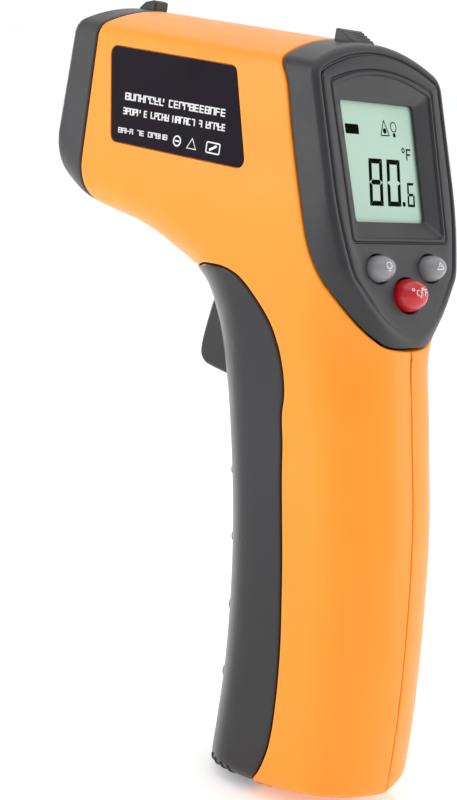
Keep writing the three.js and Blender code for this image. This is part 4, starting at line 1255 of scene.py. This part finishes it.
# ---- optics and laser ---------------------------------------------------------------------
def optics():
    funnel = [(10.2, 43.7), (11.4, 43.7), (11.4, 42.2), (10.4, 42.2), (8.4, 27), (8.4, 14.4), (6.2, 14.4),
              (6.2, 26.6), (7.2, 26.6), (7.2, 31)]
    for k in range(1, 6):
        y = 31 + 1.9 * k
        r = 7.2 + 0.5 * k
        funnel += [(r - 0.1, y - 0.35), (r, y)]
    funnel += [(10.0, 42.6)]
    make("lens_tube_body", *lathe(funnel, FUNNEL, 96), FUNNEL_BLACK, "casing", "lens_tube", "lens_plastic")
    lens = [(0, 22.6), (5.9, 22.6), (5.9, 24)]
    lens += [(5.9 * math.cos(a), 24 + 0.9 * math.sin(a)) for a in np.linspace(0.15, 1.45, 9)] + [(0, 24.9)]
    make("ir_lens_body", *lathe(lens, FUNNEL, 64), IR_GLASS, "casing", "ir_lens", "ir_glass")
    ring = [(4.6, 20.8), (5.9, 20.8), (5.9, 22.3), (4.6, 22.3)]
    make("lens_ring_body", *lathe(ring, FUNNEL, 64), CAN, "casing", "lens_ring", "bright_metal")
    can = softened([(0, 13.8), (4.6, 13.8), (4.6, 14.4), (4.1, 14.4), (4.1, 17.6), (1.6, 17.6),
                    (1.6, 17.2), (0, 17.2)], 0.2)
    make("sensor_can_body", *lathe(can, FUNNEL, 64), CAN, "casing", "sensor_can", "bright_metal")
    module = softened([(0, 30), (3, 30), (3, 43.6), (1.4, 43.6), (1.4, 42), (0, 42)], 0.25)
    make("laser_module_body", *lathe(module, LASER, 48), BRASS, "casing", "laser_module", "laser_brass")
    window = softened([(0, 42.4), (1.1, 42.4), (1.1, 43.2), (0, 43.2)], 0.2)
    make("laser_lens_body", *lathe(window, LASER, 32), CLEAR, "casing", "laser_lens", "laser_glass")


optics()


# ---- keys and display ---------------------------------------------------------------------
UPRIGHT = Axes((0, 0, 0), (1, 0, 0), (0, 1, 0), (0, 0, 1))
MARK_ASIDE = 0.8


def key(name, colour, slot):
    """An oval domed key with its flange, its stem and a raised generic mark."""
    u, v, r, flat, height = BUTTONS[name]
    arc = [(r * math.cos(t), height * math.sin(t)) for t in np.linspace(0, math.pi / 2, 20)[1:-1]]
    section = [(0, -3.1), (r + 1.15, -3.1), (r + 1.15, -2.3), (r, -2.3), (r, 0)] + arc + [(0, height)]
    points, faces = lathe(section, UPRIGHT, 72)
    body = f"{name}_key"
    make(f"button_{name}_body", FACE.at(u, v).out(points * [1, flat, 1]), faces, colour, body,
         f"button_{name}", slot)
    stem = softened([(0, -4.7), (1.5, -4.7), (1.5, -3.4), (0, -3.4)], 0.2)
    make(f"key_stem_{name}_body", *lathe(stem, FACE.at(u, v), 40), DARK, body, f"key_stem_{name}",
         "switch_body")
    marks = []
    for path in KEY_MARKS[name]:
        line = resampled(np.asarray(path, float), 0.12) - (MARK_ASIDE, 0)
        out = (line[:, 0] / r) ** 2 + (line[:, 1] / (r * flat)) ** 2
        line = np.column_stack([line, height * np.sqrt(1 - out)])
        marks.append(tube(FACE.at(u, v).out(line), 0.1, 6))
    make(f"button_{name}_mark", *joined(*marks), PRINT, body)


def ring_path(radius, centre):
    loop = circle(radius, 16, centre)
    return np.vstack([loop, loop[:1]])


KEY_MARKS = {
    "left": [ring_path(0.62, (0, 0.25)), [(-0.3, -0.75), (0.3, -0.75)]],
    "right": [[(-0.8, -0.6), (0, 0.8), (0.8, -0.6), (-0.8, -0.6)], [(0, 0.2), (0, -0.2)]],
    "unit": [ring_path(0.22, (-1.55, 0.75)), [(-0.55, 0.6), (-1.0, 0.45), (-1.1, -0.2), (-0.6, -0.6)],
             [(-0.3, -0.9), (0.25, 0.95)], ring_path(0.22, (0.6, 0.75)),
             [(1.75, 0.65), (1.05, 0.65), (1.05, -0.65)], [(1.05, 0.05), (1.6, 0.05)]],
}
key("left", KEY_GREY, "key_grey")
key("right", KEY_GREY, "key_grey")
key("unit", KEY_RED, "key_red")

SEGMENTS_OF = {"8": "abcdefg", "0": "abcdef", "6": "acdefg"}


def digit(character, u, v, width, height, stroke, slant=0.13):
    """Seven-segment strokes with mitred ends; (u, v) is the lower left corner."""
    w, h, s = width, height, stroke
    half = h / 2
    g = 0.05
    shapes = {
        "a": [(g, h), (w - g, h), (w - s - g, h - s), (s + g, h - s)],
        "d": [(s + g, s), (w - s - g, s), (w - g, 0), (g, 0)],
        "f": [(0, h - g), (s, h - s - g), (s, half + s / 2 + g), (0, half + g)],
        "b": [(w - s, h - s - g), (w, h - g), (w, half + g), (w - s, half + s / 2 + g)],
        "e": [(0, half - g), (s, half - s / 2 - g), (s, s + g), (0, g)],
        "c": [(w - s, half - s / 2 - g), (w, half - g), (w, g), (w - s, s + g)],
        "g": [(s * 0.6 + g, half), (s + g, half + s / 2), (w - s - g, half + s / 2), (w - s * 0.6 - g, half),
              (w - s - g, half - s / 2), (s + g, half - s / 2)],
    }
    out = []
    for segment in SEGMENTS_OF[character]:
        out.append([(u + a + slant * b, v + b) for a, b in shapes[segment]])
    return out


def ccw(outline):
    outline = np.asarray(outline, float)
    x, y = outline.T
    area = (x * np.roll(y, -1) - y * np.roll(x, -1)).sum()
    return outline if area > 0 else outline[::-1]


def strip(path, width):
    """A flat line of a given width along a path, as points and faces."""
    path = np.asarray(path, float)
    if np.allclose(path[0], path[-1]):
        sides = [inset(path[:-1], width / 2), inset(path[:-1], -width / 2)]
        count = len(path) - 1
        pairs = [(k, (k + 1) % count) for k in range(count)]
    else:
        sides = [shifted(path, width / 2), shifted(path, -width / 2)]
        count = len(path)
        pairs = [(k, k + 1) for k in range(count - 1)]
    return np.vstack(sides), [(i, i + count, j + count, j) for i, j in pairs]


def face_plate(points, faces, low=-2.62, high=-2.56):
    """A thin raised plate on the display from flat points and faces."""
    level = np.full(len(points), 1.0)
    return thickened(FACE.out(np.column_stack([points, level * high])),
                     FACE.out(np.column_stack([points, level * low])), faces)


def filled(outline):
    outline = ccw(outline)
    return outline, [tuple(range(len(outline)))]


def display():
    glass = pillow(rectangle(-13, 13, -31, -3, 0.5), -4.2, -2.6, FACE, 0.15)
    make("lcd_glass_body", *glass, DISPLAY, "casing", "lcd_glass", "lcd_cell")
    digits = digit("8", -5.25, -25.6, 4.4, 9.2, 0.95) + digit("0", 0.7, -25.6, 4.4, 9.2, 0.95)
    digits += digit("6", 7.4, -25.6, 2.4, 4.8, 0.5)
    shapes = [filled(outline) for outline in digits]
    shapes += [filled(circle(0.5, 16, (6.15, -25.1))), filled(rectangle(-10.4, -6.1, -11.9, -10.0, 0.25))]
    shapes += [strip(ring_path(0.42, (8.0, -14.4)), 0.26), strip([(8.95, -16.3), (9.2, -14.1)], 0.34),
               strip([(9.1, -14.2), (10.5, -14.2)], 0.34), strip([(9.1, -15.2), (10.2, -15.2)], 0.34)]
    lamp = [(1.9, -10.8), (3.1, -10.8)]
    shapes += [strip([(1.1, -11.7), (2.5, -8.7)], 0.2), strip([(2.5, -8.7), (3.9, -11.7)], 0.2),
               strip([(1.1, -11.7), (3.9, -11.7)], 0.2), filled(circle(0.55, 10, (2.5, -10.8))),
               strip(lamp, 0.16), strip(ring_path(0.95, (5.6, -9.9)), 0.2),
               filled(rectangle(5.2, 6.0, -11.9, -11.1, 0.1))]
    make("lcd_segments", *joined(*[face_plate(*shape) for shape in shapes]), SEGMENT, "casing")


display()


# ---- side label ---------------------------------------------------------------------------
def side_plate(points, faces, lift0, lift1):
    """A thin plate on the left side, between two depths below the surface."""
    half = np.sqrt(np.maximum(signed_square(points), 0))
    return thickened(np.column_stack([lift0 - half, points]), np.column_stack([lift1 - half, points]), faces)


def label_film():
    outline = resampled(inset(label_line, 0.1), 0.45, True)
    points = outline.tolist()
    edges = [(k, (k + 1) % len(points)) for k in range(len(points))]
    (y0, z0), (y1, z1) = outline.min(0), outline.max(0)
    grid = np.stack(np.meshgrid(np.arange(y0, y1, 1.5), np.arange(z0, z1, 1.5)), -1).reshape(-1, 2)
    points += grid[within(inset(outline, 0.6), grid)].tolist()
    made = delaunay_2d_cdt([Vector(p) for p in points], edges, [], 1, 1e-5, False)
    flat = np.array([tuple(v) for v in made[0]])
    film = side_plate(flat, [tuple(f) for f in made[2]], 0.08, 0.34)
    make("side_label_film", *film, LABEL_BLACK, "casing", "side_label", "label_film")


def print_row(random, start, end, height, words):
    """A row of letter-like marks that spell nothing, from strokes on a two by three grid."""
    start, end = np.array(start), np.array(end)
    pitch = (end - start) / (sum(words) + 0.9 * (len(words) - 1))
    upright = np.array([0.12, height])
    stroke = 0.22 * height
    place = 0.0
    parts = []
    for word in words:
        for _ in range(word):
            low_left = start + pitch * (place + 0.12)
            low_right = start + pitch * (place + 0.82)
            left, right, top, middle, bottom = random.random(5) < (0.85, 0.6, 0.75, 0.5, 0.45)
            if not (left or right):
                left = True
            if left:
                parts.append(strip([low_left, low_left + upright], stroke))
            if right:
                lowest = 0.5 if random.random() < 0.35 else 0.0
                parts.append(strip([low_right + upright * lowest, low_right + upright], stroke))
            for level, wanted in ((0.92, top), (0.5, middle), (0.08, bottom)):
                if wanted:
                    parts.append(strip([low_left + upright * level, low_right + upright * level],
                                       stroke * 0.8))
            place += 1
        place += 0.9
    return parts


def label_print():
    random = np.random.default_rng(11)
    parts = print_row(random, (28.2, 132.7), (0.6, 133.2), 1.45, (8, 11))
    parts += print_row(random, (28.3, 129.8), (0.2, 130.5), 1.35, (5, 1, 5, 6, 1, 5))
    parts += print_row(random, (28.9, 126.0), (14.9, 126.5), 1.05, (4, 2, 5))
    parts += [strip(ring_path(0.95, (12.3, 126.8)), 0.3), strip([(12.9, 126.8), (11.7, 126.8)], 0.28),
              strip([(9.5, 125.9), (8.3, 127.9), (7.1, 125.9), (9.5, 125.9)], 0.3)]
    square = rectangle(1.0, 4.4, 125.9, 127.9, 0.3)
    parts += [strip(np.vstack([square, square[:1]]), 0.28), strip([(3.6, 126.4), (1.8, 127.4)], 0.5)]
    plates = [side_plate(points, faces, 0.05, 0.11) for points, faces in parts]
    make("side_label_print", *joined(*plates), PRINT, "casing")


label_film()
label_print()


# ---- screws and pins ----------------------------------------------------------------------
def thread(radius, start, end, pitch=0.5):
    """Profile points of a threaded shank, crest after root."""
    points = []
    for k in range(int((end - start) / pitch)):
        points += [(radius * 0.84, start + pitch * k), (radius, start + pitch * (k + 0.5))]
    return points


def screw(name, shank, tip, head, seat, top, axes, slots):
    """A pan-head screw; slots are the outlines of its driver recess."""
    profile_points = [(0, tip), (shank * 0.6, tip)] + thread(shank, tip + 0.3, seat - 1.0)
    profile_points += [(shank * 0.9, seat - 0.6), (shank * 0.9, seat), (head - 0.12, seat),
                       (head, seat + 0.15), (head, seat + 0.45 * (top - seat))]
    for angle in (0.35, 0.7, 1.05, 1.35):
        profile_points.append((head * (0.45 + 0.55 * math.cos(angle)),
                               seat + (top - seat) * (0.45 + 0.55 * math.sin(angle))))
    profile_points.append((0, top))
    piece = make(name + "_body", *lathe(profile_points, axes, 40), ZINC, "casing", name, "screw_steel")
    for outline in slots:
        carved(piece, cutter(prism_tool(outline, top - 0.5 * (top - seat), top + 1, axes)))
    return resharpened(piece)


for index, (y, z) in enumerate(CASE_SCREWS):
    seat = half_width(y, z) - 3.0
    cross = [rectangle(-1.4, 1.4, -0.28, 0.28, 0.1), rectangle(-0.28, 0.28, -1.4, 1.4, 0.1)]
    screw(f"case_screw_{index + 1}", 1.1, -7.5, 2.2, seat, seat + 1.5, SIDE.at(y, z), cross)
for index, (u, v) in enumerate(BOARD_SCREWS):
    inward = Axes(FACE.out([u, v, 0]), FACE.basis[0], -FACE.basis[1], -FACE.basis[2])
    slot_cut = rectangle(-1.2, 1.2, -0.22, 0.22, 0.05)
    screw(f"board_screw_{index + 1}", 0.85, 4.4, 1.7, 9.9, 11.2, inward, [slot_cut])
hinge_pin = softened([(0, -8.3), (0.6, -8.3), (0.6, 8.3), (0, 8.3)], 0.15)
make("door_hinge_pin_body", *lathe(hinge_pin, SIDE.at(*HINGE), 32), STEEL, "casing", "door_hinge_pin",
     "steel_pin")


# ---- battery compartment ------------------------------------------------------------------
TRAY_UP = Axes(TRAY.origin, TRAY.basis[0], -TRAY.basis[2], TRAY.basis[1])
CELL_END = 26.2


def battery_tray():
    tray = make("battery_tray_body", *pillow(rectangle(-12.6, 12.6, -28.5, 28.5, 1.2), -1, 8, TRAY, 0.3),
                TRAY_BLACK, "casing", "battery_tray", "tray_abs")
    carved(tray, cutter(pillow(rectangle(-11.3, 11.3, -27, 27, 0.8), -3, 6.4, TRAY, 0.3)))
    return resharpened(tray)


def cell(name, direction):
    """A steel cell in its printed sleeve, nub up for direction 1 and down for -1."""
    end = CELL_LENGTH / 2
    axes = Axes(TRAY.out([CELL_X * direction, 1.6 * direction, 0]), TRAY.basis[0] * direction,
                -TRAY.basis[2], TRAY.basis[1] * direction)
    can = [(0, 0.1 - end), (3.6, 0.1 - end), (3.9, 0.5 - end), (4.7, 0.55 - end), (4.9, 0.8 - end),
           (4.9, end - 1.6), (4.5, end - 1.15), (1.9, end - 1), (1.9, end - 0.2), (1.7, end), (0, end)]
    make(name + "_can", *lathe(can, axes, 48), CAN, "casing", name, "cell_wrap")
    sleeve = [(4.94, 0.9 - end), (5.05, 0.5 - end), (5.25, 0.75 - end), (5.25, end - 1.7),
              (5.1, end - 1.35), (4.94, end - 1.5)]
    make(name + "_sleeve", *lathe(sleeve, axes, 64), CELL_RED, "casing", (), "cell_wrap")


def contact(name, plates, nubs, end):
    """A sprung-steel plate across one end of the tray; nubs are the places of its raised buttons."""
    low, high = end * CELL_END - 0.25, end * CELL_END + 0.25
    piece = make(name + "_plate", *pillow(rectangle(*plates, -3.6, 3.6, 0.8), low, high, TRAY_UP, 0.1, 2),
                 SPRING, "casing", name, "spring_steel")
    for x in nubs:
        face, tip = end * CELL_END, end * (CELL_END - 2)
        button = softened([(0, face), (2.0, face), (2.0, tip), (0, tip)], 0.5)
        carved(piece, cutter(lathe(button, TRAY_UP.at(x, 0), 32)), "UNION")
    return resharpened(piece)


battery_tray()
cell("cell_1", 1)
cell("cell_2", -1)
contact("contact_bridge", (-CELL_X - 4, CELL_X + 4), [-CELL_X], -1)
contact("contact_positive", (CELL_X - 4, CELL_X + 4), [CELL_X], 1)
contact("contact_negative", (-CELL_X - 4, -CELL_X + 4), [], 1)
for name, x, end in (("cell_spring_1", CELL_X, -1), ("cell_spring_2", -CELL_X, 1)):
    make(name + "_coil", *coil(end * 25.5, end * 21.4, 2.6, 0.3, 4, TRAY_UP.at(x, 0), 0.65), SPRING, "casing",
         name, "spring_steel")


# ---- wiring and boards --------------------------------------------------------------------
BATTERY_WIRE = [(5.6, -15, 69.6), (4.4, -20, 72), (3, -26, 78), (3, -27.4, 86), (3, -25, 93), (3, -22.8, 98)]
SWITCH_WIRE = [(0, -14, 106.6), (0, -16.6, 108), (0, -19, 107.4), (0, -19.6, 105.8)]
LASER_WIRE = [(0, 29.4, 144.8), (0, 22, 145.6), (0, 6, 146.2), (0, -4, 145), (0, -7.4, 140)]
RIBBON_LINE = [(11.6, 120), (8, 118.5), (-2, 121), (-9.5, 124.6)]


def wire(name, points, colour):
    make(name + "_lead", *tube(catmull(points, 8), 0.58, 14), WIRES[colour], "casing", name, "wire_" + colour)


def sensor_ribbon():
    path = catmull(RIBBON_LINE, 8)
    outline = np.vstack([shifted(path, 0.14), shifted(path, -0.14)[::-1]])
    make("sensor_ribbon_band", *prism_tool(outline, -4, 4), RIBBON, "casing", "sensor_ribbon", "ribbon")


def carried_over():
    """The CAD's own boards and blocks, with softened edges and full materials."""
    looks = {"sensor_board": BOARD, "main_board": BOARD, "controller_chip": DARK, "lcd_backlight": DIFFUSER,
             "lcd_connector": RUBBER, "key_switch_left": DARK, "key_switch_right": DARK,
             "key_switch_unit": DARK}
    for name, material in looks.items():
        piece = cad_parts[name]
        piece.data.materials.clear()
        piece.data.materials.append(material)
        edge = piece.modifiers.new("edge", "BEVEL")
        edge.width = 0.12 * MM
        edge.segments = 2
        edge.limit_method = "ANGLE"


wire("wire_battery_red", BATTERY_WIRE, "red")
wire("wire_battery_black", [(-x, y, z) for x, y, z in BATTERY_WIRE], "black")
wire("wire_switch", SWITCH_WIRE, "black")
wire("laser_lead", LASER_WIRE, "blue")
sensor_ribbon()
carried_over()


# ---- camera, light and floor --------------------------------------------------------------
def place_camera():
    azimuth, elevation, roll = (math.radians(v) for v in (-51.2, 11.5, 8.8))
    back = Vector((math.sin(azimuth) * math.cos(elevation), -math.cos(azimuth) * math.cos(elevation),
                   math.sin(elevation)))
    right = Vector((math.cos(azimuth), math.sin(azimuth), 0))
    up = back.cross(right)
    data = bpy.data.cameras.new("camera")
    data.sensor_width = 36.0
    data.lens = 83.34
    data.clip_start = 0.01
    data.clip_end = 20.0
    camera = bpy.data.objects.new("camera", data)
    bpy.context.scene.collection.objects.link(camera)
    aim = Vector((np.array([0, 6.25, 74.6]) + SHIFT) * MM)
    x_axis = math.cos(roll) * right + math.sin(roll) * up
    y_axis = -math.sin(roll) * right + math.cos(roll) * up
    rotation = Matrix((x_axis, y_axis, back)).transposed().to_4x4()
    camera.matrix_world = Matrix.Translation(aim + back * 385.9 * MM) @ rotation
    bpy.context.scene.camera = camera


def area_light(name, position, target, size, power):
    data = bpy.data.lights.new(name, "AREA")
    data.shape = "RECTANGLE"
    data.size, data.size_y = size
    data.energy = power
    light = bpy.data.objects.new(name, data)
    light.location = position
    light.rotation_euler = (Vector(target) - Vector(position)).to_track_quat("-Z", "Y").to_euler()
    bpy.context.scene.collection.objects.link(light)


# Brightness of the surroundings from behind the viewer (-1) round to the backdrop (1).
SURROUNDINGS = [(-1, 0.62), (-0.35, 0.74), (-0.1, 0.86), (0.1, 0.62), (0.28, 0.5), (0.42, 0.95), (0.6, 1.08),
                (1, 1.08)]


def studio():
    """White surroundings with one darker band, soft boxes and a white floor."""
    world = bpy.data.worlds.new("studio")
    world.use_nodes = True
    tree = world.node_tree
    coordinates = tree.nodes.new("ShaderNodeTexCoord")
    facing = tree.nodes.new("ShaderNodeVectorMath")
    facing.operation = "DOT_PRODUCT"
    facing.inputs[1].default_value = (0.78, 0.63, 0.0)
    tree.links.new(coordinates.outputs["Generated"], facing.inputs[0])
    grey = tree.nodes.new("ShaderNodeValToRGB")
    tree.links.new(ramp(tree, facing.outputs["Value"], -1, 1, 0, 1), grey.inputs["Fac"])
    stops = grey.color_ramp.elements
    for place, level in SURROUNDINGS[1:-1]:
        stops.new((place + 1) / 2).color = (level, level, level, 1)
    for stop, (_, level) in zip((stops[0], stops[-1]), (SURROUNDINGS[0], SURROUNDINGS[-1])):
        stop.color = (level, level, level, 1)
    tree.links.new(grey.outputs["Color"], tree.nodes["Background"].inputs["Color"])
    bpy.context.scene.world = world
    centre = (0, 0, 0.08)
    area_light("front_left_box", (-0.75, 0.55, 0.35), centre, (0.35, 0.9), 3.3)
    area_light("front_strip", (0.16, 0.85, 0.0), centre, (0.22, 0.8), 3.5)
    area_light("rear_right_box", (0.6, -0.75, 0.3), centre, (0.35, 0.9), 3.0)
    area_light("top_box", (-0.1, 0.0, 0.9), centre, (0.9, 0.9), 2.0)
    floor_material, tree, shader = node_material("floor_paper", (0.93, 0.93, 0.93), 0.8)
    tree.links.new(ramp(tree, noise(tree, 300), 0.3, 0.7, 0.78, 0.84), shader.inputs["Roughness"])
    shader.inputs["Emission Color"].default_value = (1, 1, 1, 1)
    shader.inputs["Emission Strength"].default_value = 0.24
    mesh = bpy.data.meshes.new("floor")
    edge = 6.0
    corners = [(-edge, -edge, 0), (edge, -edge, 0), (edge, edge, 0), (-edge, edge, 0)]
    mesh.from_pydata(corners, [], [(0, 1, 2, 3)])
    floor = bpy.data.objects.new("floor", mesh)
    mesh.materials.append(floor_material)
    bpy.context.scene.collection.objects.link(floor)


place_camera()
studio()
bpy.context.scene.view_settings.view_transform = "Standard"
